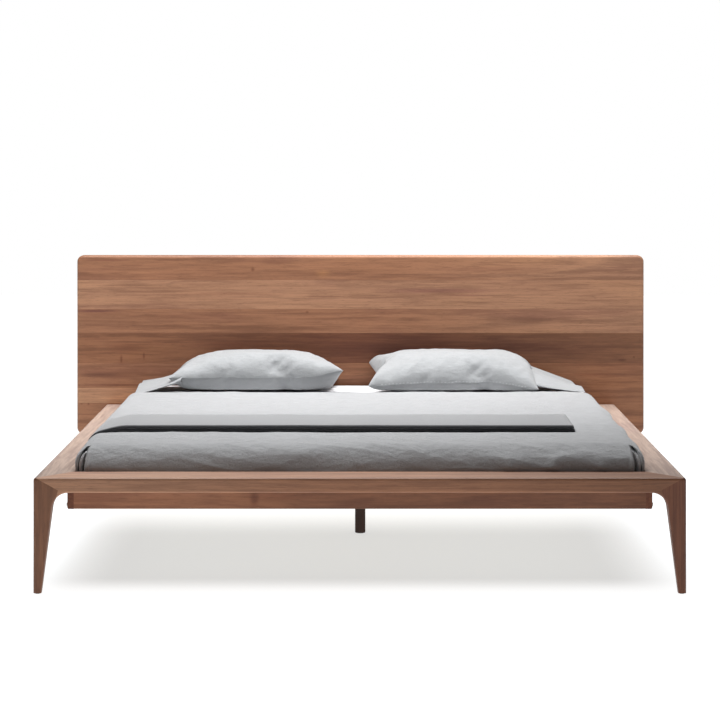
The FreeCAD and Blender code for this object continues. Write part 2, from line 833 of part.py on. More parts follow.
def slatted_base():
    pieces = {}
    slat_holes = slat_screws("slat_screw_holes", ease / 5)
    cleat_holes = cleat_screws("cleat_screw_holes", ease / 5)
    for side, sign in LEFT_RIGHT:
        bar = block(f"{side}_cleat_bar",
                    span(sign, opening_half - dim("CleatWidth"), opening_half),
                    (opening_front, rear_rail_front), (dim("CleatBottom"), beam_top))
        pieces[f"{side}_cleat"] = cut(f"{side}_cleat_done",
                                      cut(f"{side}_cleat_drilled", bar, cleat_holes), slat_holes)
    pieces["cleat_screws"] = cleat_screws("cleat_screws_group")
    half_slat = opening_half - dim("SlatSlack")
    for number, y in enumerate(slat_places(), start=1):
        bar = block(f"slat_{number:02d}_bar", (-half_slat, half_slat),
                    (y - dim("SlatWidth") / 2, y + dim("SlatWidth") / 2), (beam_top, slat_top))
        pieces[f"slat_{number:02d}"] = cut(f"slat_{number:02d}_drilled", bar, slat_holes)
    pieces["slat_screws"] = slat_screws("slat_screws_group")
    return pieces


def bracket(name, wall, sign):
    """An angle bracket on an apron or the rear rail, with a shelf under the beam's end."""
    thick = dim("BracketThickness")
    half = dim("BracketWidth") / 2
    bottom = dim("BeamBottom") - thick
    upright = block(f"{name}_upright", (-half, half), span_y(wall, sign, 0, thick),
                    (bottom, beam_top))
    shelf = block(f"{name}_shelf", (-half, half), span_y(wall, sign, 0, dim("BracketReach")),
                  (bottom, dim("BeamBottom")))
    return fuse(name, [upright, shelf])


def span_y(wall, sign, near, far):
    """Two distances off a wall as an ascending pair of places along Y."""
    ends = (wall + as_size(near) * sign, wall + as_size(far) * sign)
    return ends if sign > 0 else ends[::-1]


def bracket_screws(name, grow=0):
    """Two screws up through each bracket's shelf into the beam."""
    reach = dim("BracketReach") * 0.6
    places = [(x, y) for x in BRACKET_SCREW_PLACES
              for y in (opening_front + reach, rear_rail_front - reach)]
    low = dim("BeamBottom") - dim("BracketThickness")
    return group(name, [
        screw(f"{name}_{index}", (x, y, low), "z", BRACKET_SCREW_LENGTH, 1, grow)
        for index, (x, y) in enumerate(places, start=1)
    ])


def beam_and_centre_leg():
    thick = dim("BracketThickness")
    half = dim("BeamWidth") / 2
    holes = bracket_screws("bracket_screw_holes", ease / 5)
    bolt_low, bolt_high = CENTRE_BOLT_ENDS
    centre = dim("CentreLegPlace")
    bolt_bore = rod("centre_leg_bolt_bore", (0, centre, bolt_low - 1), "z",
                    dim("BoltRadius") + ease / 5, bolt_high - bolt_low + 2)
    beam = block("centre_beam_bar", (-half, half),
                 (opening_front + thick, rear_rail_front - thick), (dim("BeamBottom"), beam_top))
    beam = cut("centre_beam_drilled", cut("centre_beam_screwed", beam, holes), bolt_bore)
    half_leg = dim("CentreLegSide") / 2
    post = block("centre_leg_post", (-half_leg, half_leg), (centre - half_leg, centre + half_leg),
                 (dim("GlideThickness"), dim("BeamBottom")))
    post = round_edges("centre_leg_rounded", post, dim("HeadBackRound"),
                       lambda edge: not edge_on(edge, "z", dim("BeamBottom")))
    return {
        "centre_beam": beam,
        "centre_leg": cut("centre_leg_drilled", post, bolt_bore),
        "centre_leg_bolt": rod("centre_leg_bolt_rod", (0, centre, bolt_low), "z",
                               dim("BoltRadius"), bolt_high - bolt_low),
        "front_beam_bracket": cut("front_beam_bracket_drilled",
                                  bracket("front_beam_angle", opening_front, 1), holes),
        "rear_beam_bracket": cut("rear_beam_bracket_drilled",
                                 bracket("rear_beam_angle", rear_rail_front, -1), holes),
        "bracket_screws": bracket_screws("bracket_screws_group"),
    }


def glides():
    """Felt pads under the four legs and the centre leg."""
    inset = dim("FootWidth") / 2 + GLIDE_CLEARANCE
    height = dim("GlideThickness")
    pads = []
    for side, sign in LEFT_RIGHT:
        for end, y in (("front", front + inset), ("rear", head_front - inset)):
            pads.append(rod(f"glide_{end}_{side}", ((half_width - inset) * sign, y, 0), "z",
                            dim("GlideRadius"), height))
    pads.append(rod("glide_centre", (0, dim("CentreLegPlace"), 0), "z",
                    dim("CentreGlideRadius"), height))
    return {"felt_glides": group("felt_glides_group", pads)}


# Bedding ---------------------------------------------------------------------------------------

def soft_block(name, x, y, z, size):
    """A plain box with every edge rounded by the same radius."""
    return round_edges(f"{name}_rounded", block(name, x, y, z), size, lambda edge: True)


def mattress_and_covers():
    half = dim("MattressWidth") / 2
    low_y = opening_front + (rear_rail_front - opening_front - dim("MattressLength")) / 2
    high_y = low_y + dim("MattressLength")
    bottom = slat_top + dim("BodyGap")
    top = dim("MattressTop")
    radius = dim("MattressRound")
    sheet_thick = dim("SheetThickness")
    cover_thick = dim("CoverletThickness")
    mattress = soft_block("mattress_core", (-half, half), (low_y, high_y), (bottom, top), radius)

    def shell(name, inner, grow, head, tuck):
        """A skin of even thickness over the top and the sides, open underneath."""
        outer = soft_block(f"{name}_outer", (-half - grow, half + grow),
                           (low_y - grow, high_y + grow), (bottom - grow, top + grow),
                           radius + grow)
        keep = block(f"{name}_keep", (-half_width, half_width), (front, head),
                     (tuck, top + grow + 1))
        return cut(f"{name}_skin", common(f"{name}_trimmed", outer, keep), inner)

    tuck = dim("TuckBottom") + radius
    fitted = shell("fitted_sheet", mattress, sheet_thick, high_y + 20, tuck)
    inner = soft_block("coverlet_inner", (-half - sheet_thick, half + sheet_thick),
                       (low_y - sheet_thick, high_y + sheet_thick),
                       (bottom - sheet_thick, top + sheet_thick), radius + sheet_thick)
    cover = shell("coverlet", inner, sheet_thick + cover_thick, dim("CoverletHead"), tuck)
    return {"mattress": mattress, "fitted_sheet": fitted, "coverlet": cover}


def folded_throw():
    """A folded throw across the foot of the bed, its left end hanging over the side."""
    cover_top = dim("MattressTop") + dim("SheetThickness") + dim("CoverletThickness")
    low = cover_top + dim("BodyGap")
    high = low + dim("ThrowThickness")
    cover_side = (dim("MattressWidth") / 2 + dim("SheetThickness") + dim("CoverletThickness")
                  + dim("BodyGap"))
    y = (dim("ThrowFront"), dim("ThrowBack"))
    flat = block("throw_flat", (-cover_side - dim("ThrowThickness"), dim("ThrowRight")), y,
                 (low, high))
    drop = block("throw_drop", (-cover_side - dim("ThrowThickness"), -cover_side), y,
                 (dim("ThrowDrop"), high))
    whole = fuse("throw_whole", [flat, drop])
    return {"throw": round_edges("throw_rounded", whole, THROW_EDGE_ROUND,
                                 lambda edge: straight_edge(edge, "y")
                                 and edge.BoundBox.ZMin > high.value - 1)}


def pillows():
    """Each pillow is an insert in a case; the case's loose open end lies flat beside it."""
    pieces = {}
    low = dim("MattressTop") + dim("SheetThickness") + dim("BodyGap")
    shell = dim("PillowShell")
    y_low = dim("PillowFront")
    y_high = dim("PillowBack")

    def across(sign, near, far):
        """A pillow's ends: both pillows lie a little to the left of the middle."""
        ends = span(sign, near, far)
        return ends[0] + dim("PillowShift"), ends[1] + dim("PillowShift")

    for side, sign in LEFT_RIGHT:
        insert = soft_block(f"{side}_insert",
                            across(sign, dim("PillowInner") + shell, dim("PillowOuter") - shell),
                            (y_low + shell, y_high - shell),
                            (low + shell, low + dim("PillowHeight") - shell),
                            dim("PillowRound") - shell)
        outer = soft_block(f"{side}_case_body",
                           across(sign, dim("PillowInner"), dim("PillowOuter")),
                           (y_low, y_high), (low, low + dim("PillowHeight")), dim("PillowRound"))
        flap = block(f"{side}_case_flap",
                     span(sign, dim("PillowOuter") - dim("PillowRound"), dim("FlapReach")),
                     (y_low + CASE_END_INSET, y_high - CASE_END_INSET),
                     (low, low + dim("FlapThickness")))
        case = cut(f"{side}_case_hollow", fuse(f"{side}_case_outer", [outer, flap]), insert)
        pieces[f"pillow_insert_{side}"] = insert
        pieces[f"pillowcase_{side}"] = case
    return pieces


# The whole bed ---------------------------------------------------------------------------------

frame_pieces, finished_blank = legs_and_rails()
apron_pieces, ledge_screw_holes = aprons_and_rear_rail(finished_blank)
for rail in ("front_rail", "left_rail", "right_rail"):
    frame_pieces[rail] = cut(f"{rail}_drilled", frame_pieces[rail], ledge_screw_holes)

nodes = {}
for made in (headboard_boards(), headboard_fixings(), frame_pieces, apron_pieces, slatted_base(),
             beam_and_centre_leg(), glides(), mattress_and_covers(), folded_throw(), pillows()):
    nodes.update(made)

for node, piece in nodes.items():
    piece.Label = node

doc.recompute()
for item in doc.Objects:
    if "Invalid" in item.State or "Error" in item.State:
        raise RuntimeError(f"{item.Name} did not build: {item.State}")

os.makedirs("parts", exist_ok=True)
for node, piece in nodes.items():
    shape = piece.Shape
    if shape.isNull() or not shape.isValid() or not shape.Solids:
        raise RuntimeError(f"{node} has no sound shape")
    shape.exportStep(f"parts/{node}.step")
    print(f"{node}: {len(shape.Solids)} solids, {shape.Volume / 1000:.1f} cm3")
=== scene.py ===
import math

import bpy
import numpy as np
from bpy.props import FloatProperty, FloatVectorProperty, IntProperty, PointerProperty
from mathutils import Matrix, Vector


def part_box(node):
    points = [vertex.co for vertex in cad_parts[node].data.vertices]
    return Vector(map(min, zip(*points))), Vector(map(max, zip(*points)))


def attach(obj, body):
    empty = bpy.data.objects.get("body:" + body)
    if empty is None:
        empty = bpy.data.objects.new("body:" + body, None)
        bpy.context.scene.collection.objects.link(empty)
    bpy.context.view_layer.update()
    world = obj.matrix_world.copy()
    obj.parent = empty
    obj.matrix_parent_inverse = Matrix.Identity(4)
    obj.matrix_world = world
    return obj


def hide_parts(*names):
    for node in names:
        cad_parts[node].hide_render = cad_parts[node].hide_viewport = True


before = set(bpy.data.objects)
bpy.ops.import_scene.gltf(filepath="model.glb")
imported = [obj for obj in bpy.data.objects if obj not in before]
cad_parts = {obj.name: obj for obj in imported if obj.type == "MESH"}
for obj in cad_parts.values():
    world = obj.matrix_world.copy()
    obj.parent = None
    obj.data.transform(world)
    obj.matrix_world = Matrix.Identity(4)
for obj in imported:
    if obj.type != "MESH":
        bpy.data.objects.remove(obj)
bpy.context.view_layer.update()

bl_info = {
    "name": "Walnut platform bed",
    "version": (1, 0, 0),
    "blender": (4, 5, 0),
    "location": "3D View > Sidebar > Bed",
    "description": "Wood, metal, bedding and studio for a walnut platform bed",
    "category": "Add Mesh",
}

# Places read from the frame --------------------------------------------------------------------


def box_of(*nodes):
    """Lowest and highest corner of one or several nodes together."""
    lows, highs = zip(*(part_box(node) for node in nodes))
    low = Vector(min(corner[axis] for corner in lows) for axis in range(3))
    high = Vector(max(corner[axis] for corner in highs) for axis in range(3))
    return low, high


RAIL_LOW, RAIL_HIGH = box_of("front_rail", "left_rail", "right_rail")
APRON_HIGH = box_of("front_apron")[1]
MATTRESS_LOW, MATTRESS_HIGH = box_of("mattress")
SHEET_LOW, SHEET_HIGH = box_of("fitted_sheet")
COVER_HIGH = box_of("coverlet")[1]
THROW_LOW, THROW_HIGH = box_of("throw")
LEDGE_TOP = RAIL_HIGH.z
THROW_MIDDLE = (THROW_LOW.y + THROW_HIGH.y) / 2
OPENING_HALF = APRON_HIGH.x
OPENING_FRONT = APRON_HIGH.y
COVER_HALF = OPENING_HALF - 0.0035
COVER_FRONT = OPENING_FRONT + 0.0012
SHEET_INSET = 0.0055    # how far the sheet's mesh keeps inside its solid
SKIRT_GAP = 0.0022      # between the frame and the cloth that hangs inside it
PILLOW_BASE = 0.0016    # height of a pillow's lowest point over its solid's underside
# Tint of the rails' tops, paler and pinker: painted sheen.
PAINTED_SHEEN_TINT = (1.19, 1.40, 1.66)
BLACK_PORE = (0.035, 0.018, 0.012)

# The lamp and the camera, in metres and millimetres of lens.
LAMP_PLACE = (-0.05, 0.66, 2.75)
LAMP_AIM = (0.02, 0.50, 0.3)
LAMP_SIZE = (3.4, 1.9)
LAMP_SPREAD = 120
LENS = 123.2
LENS_SHIFT = (-0.004, -0.2986)
CAMERA_X = 0.0096
# The floor's painted glow away from the bed.
OPEN_FLOOR_GLOW = 0.97

# Where the coverlet bulges over the right-hand ledge: place along the bed, width and height.
SIDE_BULGES = ((0.20, 0.11, 0.007), (-0.33, 0.10, 0.012), (-0.72, 0.07, 0.006))


def linear(red, green, blue):
    """A colour given in display units of 0 to 255, as the shaders need it."""
    def channel(value):
        value /= 255
        return value / 12.92 if value <= 0.04045 else ((value + 0.055) / 1.055) ** 2.4
    return channel(red), channel(green), channel(blue)


BED_TOP = SHEET_HIGH.z
PILLOW_FLAT = (0.74, 0.445)
STITCHES = 44
SHEET_TUCK = 0.145      # length of sheet from the start of its roll to its hem
COVER_HEM = 0.326       # height of the coverlet's hem, below the ledge's top

# The pillows: height of the seam at the front and back, its mean, the outline's height along the
# bed's width, corners that are moved (place across and along as shares of the half size, reach,
# rise, shift across), the loose end's corners (its root's front and back, then its hem's back and
# front), how quickly that end droops to the bed, and the creases (heading, length, width, height
# and seed).
PILLOWS = {
    "left": {
        "rim": (0.052, 0.060), "rim_mean": 0.060,
        "outline": ((-0.739, 0.050), (-0.712, 0.092), (-0.655, 0.126), (-0.570, 0.146),
                    (-0.469, 0.154), (-0.293, 0.157), (-0.195, 0.148), (-0.137, 0.128),
                    (-0.086, 0.098), (-0.062, 0.066), (-0.054, 0.050)),
        "corners": ((1, -1, 0.10, 0.034, 0.0), (1, 1, 0.16, -0.036, -0.08),
                    (-1, -1, 0.10, 0.004, -0.02), (-1, 1, 0.10, -0.006, 0.0)),
        "end": ((-0.690, 0.690, 0.490), (-0.655, 1.000, 0.499),
                (-0.862, 1.000, 0.468), (-0.868, 0.706, 0.438)),
        "droop": 1.35,
        "creases": ((86, 0.17, 0.034, 0.0045, 101), (14, 0.26, 0.06, 0.0025, 103)),
    },
    "right": {
        "rim": (0.024, 0.086), "rim_mean": 0.056,
        "outline": ((0.032, 0.085), (0.075, 0.118), (0.150, 0.136), (0.250, 0.142),
                    (0.350, 0.146), (0.550, 0.143), (0.630, 0.130), (0.684, 0.104),
                    (0.716, 0.070)),
        "corners": ((-1, -1, 0.10, 0.0, -0.02), (-1, 1, 0.10, 0.0, -0.02),
                    (1, -1, 0.12, -0.012, -0.05), (1, 1, 0.12, -0.034, -0.03)),
        "end": ((0.668, 0.735, 0.470), (0.640, 1.010, 0.526),
                (0.832, 1.005, 0.462), (0.866, 0.712, 0.4445)),
        "droop": 1.5,
        "creases": ((50, 0.24, 0.05, 0.0055, 111), (88, 0.12, 0.034, 0.003, 113)),
    },
}


# Settings that a user would change ---------------------------------------------------------------


def length(name, description, default):
    return FloatProperty(name=name, description=description, default=default, unit="LENGTH")


def fraction(name, description, default):
    return FloatProperty(name=name, description=description, default=default, min=0, max=1,
                         subtype="FACTOR")


def colour_of(name, description, *default):
    return FloatVectorProperty(name=name, description=description, subtype="COLOR",
                               default=linear(*default), min=0, max=1)


class BED_PG_wood(bpy.types.PropertyGroup):
    ring_spacing: length("Ring spacing", "Distance between growth rings", 0.0065)
    wander: length("Grain wander", "How far the grain lines drift along a board", 0.022)
    fibre_contrast: fraction("Fibre contrast", "Strength of the fine streaks", 0.34)
    roughness: fraction("Wood roughness", "Roughness of the oiled surface", 0.46)


class BED_PG_bedding(bpy.types.PropertyGroup):
    side_roll: length("Side roll", "Radius of the coverlet where it turns down at a side", 0.044)
    foot_roll: length("Foot roll", "Radius of the coverlet where it turns down at the foot", 0.100)
    crease_depth: length("Crease depth", "Height of the creases in the coverlet", 0.0029)
    cloth_thickness: length("Coverlet thickness", "Thickness of the coverlet", 0.004)
    coverlet_colour: colour_of("Coverlet colour", "Colour of the coverlet", 181, 182, 184)
    sheet_colour: colour_of("Sheet colour", "Colour of the fitted sheet", 240, 240, 242)
    pillow_colour: colour_of("Pillowcase colour", "Colour of the pillowcases", 173, 175, 177)
    throw_colour: colour_of("Throw colour", "Colour of the throw's face", 171, 172, 174)
    border_colour: colour_of("Throw border colour", "Colour of the throw's border", 78, 79, 82)
    throw_layers: IntProperty(
        name="Throw layers", description="Layers that the throw is folded into", default=4,
        min=2, max=6)


class BED_PG_studio(bpy.types.PropertyGroup):
    lamp_power: FloatProperty(
        name="Overhead lamp", description="Power of the soft overhead lamp", default=80,
        unit="POWER")
    fill_strength: FloatProperty(
        name="Fill light", description="Strength of the light from all round", default=0.09)
    # The floor's glow is painted light; its lower strength under the bed paints the bed's shadow.
    floor_glow: FloatProperty(
        name="Floor glow", description="Light from the backlit floor under the bed", default=0.605)
    eye_height: length("Eye height", "Height of the camera", 1.395)
    distance: length("Viewing distance", "Camera's distance from the foot end", 7.654)


def settings():
    scene = bpy.context.scene
    return scene.bed_wood, scene.bed_bedding, scene.bed_studio


# Shading helpers ---------------------------------------------------------------------------------


class Shade:
    """A material's node tree with short calls to add and join nodes."""

    def __init__(self, name):
        self.material = bpy.data.materials.new(name)
        self.material.use_nodes = True
        self.tree = self.material.node_tree
        self.tree.nodes.clear()
        self.output = self.tree.nodes.new("ShaderNodeOutputMaterial")
        self.surface = self.tree.nodes.new("ShaderNodeBsdfPrincipled")
        self.tree.links.new(self.surface.outputs["BSDF"], self.output.inputs["Surface"])
        self.place = self.tree.nodes.new("ShaderNodeTexCoord").outputs["Object"]

    def put(self, socket, value):
        """Sets a socket to a number or a colour, or joins it to another socket."""
        if isinstance(value, bpy.types.NodeSocket):
            self.tree.links.new(value, socket)
            return
        if hasattr(value, "__len__") and len(value) == 3 and len(socket.default_value) == 4:
            value = (*value, 1)
        socket.default_value = value

    def math(self, operation, first, second=None, third=None):
        node = self.tree.nodes.new("ShaderNodeMath")
        node.operation = operation
        for socket, value in zip(node.inputs, (first, second, third)):
            if value is not None:
                self.put(socket, value)
        return node.outputs[0]

    def vector(self, operation, first, second=None):
        node = self.tree.nodes.new("ShaderNodeVectorMath")
        node.operation = operation
        self.put(node.inputs[0], first)
        if second is not None:
            self.put(node.inputs[1], second)
        return node.outputs["Value" if operation in ("LENGTH", "DISTANCE") else "Vector"]

    def split(self, value):
        node = self.tree.nodes.new("ShaderNodeSeparateXYZ")
        self.put(node.inputs[0], value)
        return node.outputs

    def join(self, x, y, z):
        node = self.tree.nodes.new("ShaderNodeCombineXYZ")
        for socket, value in zip(node.inputs, (x, y, z)):
            self.put(socket, value)
        return node.outputs[0]

    def noise(self, at, scale=1.0, detail=2.0, rough=0.5, output="Fac"):
        node = self.tree.nodes.new("ShaderNodeTexNoise")
        self.put(node.inputs["Vector"], at)
        node.inputs["Scale"].default_value = scale
        node.inputs["Detail"].default_value = detail
        node.inputs["Roughness"].default_value = rough
        return node.outputs[output]

    def stretch(self, axes, scales, seed=0.0):
        """A place for a pattern: each axis scaled, and a seed added to the first."""
        shifts = (seed, 0.0, 0.0)
        return self.join(*(self.math("MULTIPLY_ADD", axis, scale, shift)
                           for axis, scale, shift in zip(axes, scales, shifts)))

    def tinted(self, colour, tint):
        return self.blend(1.0, colour, tint, "MULTIPLY")

    def blend(self, amount, first, second, mode="MIX"):
        node = self.tree.nodes.new("ShaderNodeMix")
        node.data_type = "RGBA"
        node.blend_type = mode
        self.put(node.inputs[0], amount)
        self.put(node.inputs[6], first)
        self.put(node.inputs[7], second)
        return node.outputs[2]

    def fit(self, value, low, high, to_low=0.0, to_high=1.0, smooth=True):
        node = self.tree.nodes.new("ShaderNodeMapRange")
        node.interpolation_type = "SMOOTHSTEP" if smooth else "LINEAR"
        self.put(node.inputs[0], value)
        for socket, number in zip(node.inputs[1:5], (low, high, to_low, to_high)):
            socket.default_value = number
        return node.outputs[0]

    def bump(self, height, strength, distance, under=None):
        node = self.tree.nodes.new("ShaderNodeBump")
        node.inputs["Strength"].default_value = strength
        node.inputs["Distance"].default_value = distance
        self.put(node.inputs["Height"], height)
        if under is not None:
            self.put(node.inputs["Normal"], under)
        return node.outputs[0]

    def finish(self, **values):
        for name, value in values.items():
            self.put(self.surface.inputs[name.replace("_", " ")], value)
        return self.material


def dress(node, material):
    """Gives a CAD node's object a material in place of its plain one."""
    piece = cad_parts[node]
    piece.data.materials.clear()
    piece.data.materials.append(material)


# Wood --------------------------------------------------------------------------------------------

# Tones of walnut, in display units.
WALNUT = {
    "pale": (205, 155, 120),
    "rosy": (185, 138, 108),
    "warm": (170, 120, 90),
    "brown": (160, 110, 80),
    "deep": (138, 94, 68),
    "dark": (120, 74, 52),
    # The side rails' pale, pinkish-grey tone paints the sheen on their tops.
    "painted_sheen": (175, 145, 125),
}

# Each board's tone at its left end, middle and right end.
BOARD_TONES = {
    "headboard_board_1": ("warm", "warm", "rosy"),
    "headboard_board_2": ("rosy", "rosy", "rosy"),
    "headboard_board_3": ("warm", "warm", "rosy"),
    "headboard_board_4": ("brown", "dark", "deep"),
    "headboard_board_5": ("warm", "brown", "brown"),
    "headboard_board_6": ("pale", "warm", "brown"),
    "headboard_board_7": ("warm", "brown", "brown"),
    "front_rail": ("rosy", "warm", "deep"),
    # The side rails take the pale tone that paints their sheen.
    "left_rail": ("painted_sheen", "painted_sheen", "painted_sheen"),
    "right_rail": ("painted_sheen", "painted_sheen", "painted_sheen"),
    "rear_rail": ("deep", "deep", "deep"),
    "front_apron": ("warm", "deep", "deep"),
    "left_apron": ("dark", "dark", "dark"),
    "right_apron": ("dark", "dark", "dark"),
    "front_left_leg": ("deep", "deep", "deep"),
    "front_right_leg": ("dark", "dark", "dark"),
    "rear_left_leg": ("deep", "deep", "deep"),
    "rear_right_leg": ("deep", "deep", "deep"),
}

# Knots and coloured streaks: place along X and Z, half length, half height, and the tint.
DARK_KNOT = (0.66, 0.58, 0.56)
WOOD_MARKS = {
    "headboard_board_1": ((-0.43, 0.898, 0.010, 0.012, DARK_KNOT),
                          (-0.15, 0.882, 0.045, 0.020, (1.28, 1.30, 1.12)),
                          (-1.02, 0.935, 0.14, 0.006, (0.72, 0.64, 0.68)),
                          (0.52, 0.90, 0.30, 0.012, (0.86, 0.82, 0.84))),
    "headboard_board_2": ((0.33, 0.812, 0.30, 0.016, (0.76, 0.68, 0.78)),
                          (-0.55, 0.80, 0.30, 0.010, (0.86, 0.82, 0.82)),
                          (0.42, 0.795, 0.14, 0.005, (0.78, 0.70, 0.76))),
    "headboard_board_3": ((-1.06, 0.7325, 0.15, 0.009, (0.58, 0.48, 0.62)),
                          (-0.213, 0.728, 0.010, 0.007, DARK_KNOT),
                          (0.70, 0.70, 0.25, 0.018, (0.84, 0.80, 0.82))),
    "headboard_board_4": ((-0.94, 0.585, 0.10, 0.035, (0.86, 0.80, 0.80)),
                          (-0.955, 0.540, 0.007, 0.026, DARK_KNOT),
                          (-0.865, 0.553, 0.007, 0.020, (0.6, 0.5, 0.5)),
                          (-0.52, 0.60, 0.22, 0.030, (0.78, 0.72, 0.74)),
                          (0.03, 0.580, 0.26, 0.040, (0.74, 0.68, 0.70)),
                          (0.62, 0.585, 0.30, 0.030, (0.80, 0.74, 0.76)),
                          (1.045, 0.536, 0.020, 0.007, DARK_KNOT),
                          (1.092, 0.548, 0.006, 0.006, DARK_KNOT)),
    "headboard_board_5": ((-1.02, 0.478, 0.17, 0.012, (0.72, 0.66, 0.70)),
                          (-0.98, 0.437, 0.18, 0.007, (0.64, 0.56, 0.58)),
                          (0.98, 0.478, 0.22, 0.008, (0.82, 0.76, 0.76))),
    "headboard_board_7": ((-1.114, 0.366, 0.006, 0.009, DARK_KNOT),
                          (-1.086, 0.362, 0.006, 0.008, DARK_KNOT)),
    "front_apron": ((-0.333, 0.276, 0.020, 0.030, (0.62, 0.54, 0.54)),
                    (-0.25, 0.286, 0.16, 0.020, (0.86, 0.80, 0.80)),
                    (0.50, 0.283, 0.28, 0.022, (0.88, 0.84, 0.84))),
}


def wood_mark(shade, at, colour, streaks, x, z, half_length, half_height, tint):
    """Tints an oval patch of a board, with an edge that follows the streaks in the grain."""
    along = shade.math("DIVIDE", shade.math("SUBTRACT", at[0], x), half_length)
    across = shade.math("DIVIDE", shade.math("SUBTRACT", at[2], z), half_height)
    away = shade.vector("LENGTH", shade.join(along, across, 0))
    frayed = shade.math("MULTIPLY_ADD", streaks, 0.9, away)
    mask = shade.fit(frayed, 0.55, 1.5, 1, 0)
    return shade.blend(mask, colour, shade.tinted(colour, tint))


# The way the grain runs: index of the long axis, then of the two axes across it.
GRAIN_ALONG_X = (0, 2, 1)
GRAIN_ALONG_Y = (1, 0, 2)
GRAIN_ALONG_Z = (2, 0, 1)


def grain_of(node):
    if node.endswith("_leg"):
        return GRAIN_ALONG_Z
    if node in ("left_rail", "right_rail", "left_apron", "right_apron"):
        return GRAIN_ALONG_Y
    return GRAIN_ALONG_X


def walnut(node, number, wood):
    """Oiled walnut: rings round a pith that lies off the board, fine fibres and dark pores.

    The rails' tops get a paler, pinker tint: painted sheen.
    """
    shade = Shade(f"walnut_{node}")
    low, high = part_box(node)
    middle = (low + high) / 2
    order = grain_of(node)
    at = shade.split(shade.place)
    grain = [at[axis] for axis in order]
    along, across, deep = grain
    seed = 7.31 * number

    drift_at = shade.join(shade.math("MULTIPLY", along, 0.9), seed,
                          shade.math("MULTIPLY", across, 1.5))
    drift = shade.split(shade.noise(drift_at, 1.0, 2.0, 0.55, "Color"))
    side = 1 if number % 2 else -1
    pith_across = middle[order[1]] + 0.035 * math.sin(seed)
    pith_deep = middle[order[2]] + side * (0.075 + 0.03 * math.cos(seed))

    def from_pith(place, pith, shift, reach):
        wander = shade.math("MULTIPLY_ADD", shift, reach, -pith - reach / 2)
        return shade.math("ADD", place, wander)

    ring_place = shade.join(from_pith(across, pith_across, drift[0], 2.2 * wood.wander),
                            from_pith(deep, pith_deep, drift[1], 3.4 * wood.wander), 0)
    rings = shade.math("DIVIDE", shade.vector("LENGTH", ring_place), wood.ring_spacing)
    ring_at = shade.join(rings, seed, shade.math("MULTIPLY", along, 0.5))
    ring_tone = shade.noise(ring_at, 1.0, 3.0, 0.6)
    fibres = shade.noise(shade.stretch(grain, (5.0, 260.0, 260.0)), 1.0, 4.0, 0.65)
    streaks = shade.noise(shade.stretch(grain, (1.3, 38.0, 24.0), seed), 1.0, 3.0, 0.6)
    pore_noise = shade.noise(shade.stretch(grain, (38.0, 900.0, 900.0)), 1.0, 1.0, 0.5)
    pores = shade.fit(pore_noise, 0.62, 0.74)
    clouds = shade.noise(shade.stretch(grain, (2.2, 7.0, 7.0), seed), 1.0, 2.0, 0.5)
    hues = shade.noise(shade.stretch(grain, (1.6, 9.0, 9.0), seed), 1.0, 3.0, 0.6)
    flecks = shade.noise(shade.stretch(grain, (8.0, 105.0, 105.0)), 1.0, 3.0, 0.6)

    left, centre, right = (linear(*WALNUT[name]) for name in BOARD_TONES[node])
    half = max(high.x - middle.x, 0.2)
    to_left = shade.fit(at[0], middle.x - half * 0.95, middle.x, 1, 0)
    to_right = shade.fit(at[0], middle.x, middle.x + half * 0.95)
    tone = shade.blend(to_right, shade.blend(to_left, centre, left), right)

    darker = shade.tinted(tone, (0.62, 0.56, 0.54))
    lighter = shade.tinted(tone, (1.16, 1.13, 1.08))
    golden = shade.tinted(tone, (1.16, 1.12, 0.98))
    plum = shade.tinted(tone, (0.74, 0.66, 0.70))
    colour = shade.blend(shade.fit(ring_tone, 0.35, 0.7), lighter, shade.blend(0.38, tone, darker))
    colour = shade.blend(shade.fit(hues, 0.52, 0.75, 0, 0.6), colour, golden)
    colour = shade.blend(shade.fit(hues, 0.48, 0.32, 0, 0.8), colour, plum)
    colour = shade.blend(shade.fit(streaks, 0.50, 0.66, 0, 0.75), colour, darker)
    colour = shade.blend(shade.fit(clouds, 0.4, 0.75, 0, 0.35), colour, darker)
    colour = shade.blend(shade.fit(flecks, 0.50, 0.66, 0, 0.42), colour, darker)
    colour = shade.blend(shade.fit(flecks, 0.50, 0.36, 0, 0.45), colour, lighter)
    colour = shade.blend(shade.fit(fibres, 0.35, 0.75, 0, wood.fibre_contrast), colour, darker)
    # Paler, pinker tops on the rails: painted sheen.
    if node.endswith("_rail"):
        painted_sheen = shade.tinted(colour, PAINTED_SHEEN_TINT)
        colour = shade.blend(shade.fit(at[2], high.z - 0.0016, high.z - 0.0008), colour, painted_sheen)
    for mark in WOOD_MARKS.get(node, ()):
        colour = wood_mark(shade, at, colour, streaks, *mark)
    colour = shade.blend(shade.math("MULTIPLY", pores, 0.4), colour, BLACK_PORE)

    relief = shade.math("MULTIPLY_ADD", pores, -0.8, shade.math("MULTIPLY", fibres, 0.35))
    normal = shade.bump(relief, 0.35, 0.0006)
    rough = shade.math("MULTIPLY_ADD", fibres, 0.14, wood.roughness - 0.05)
    return shade.finish(Base_Color=colour, Roughness=rough, Normal=normal,
                        Specular_IOR_Level=0.42)


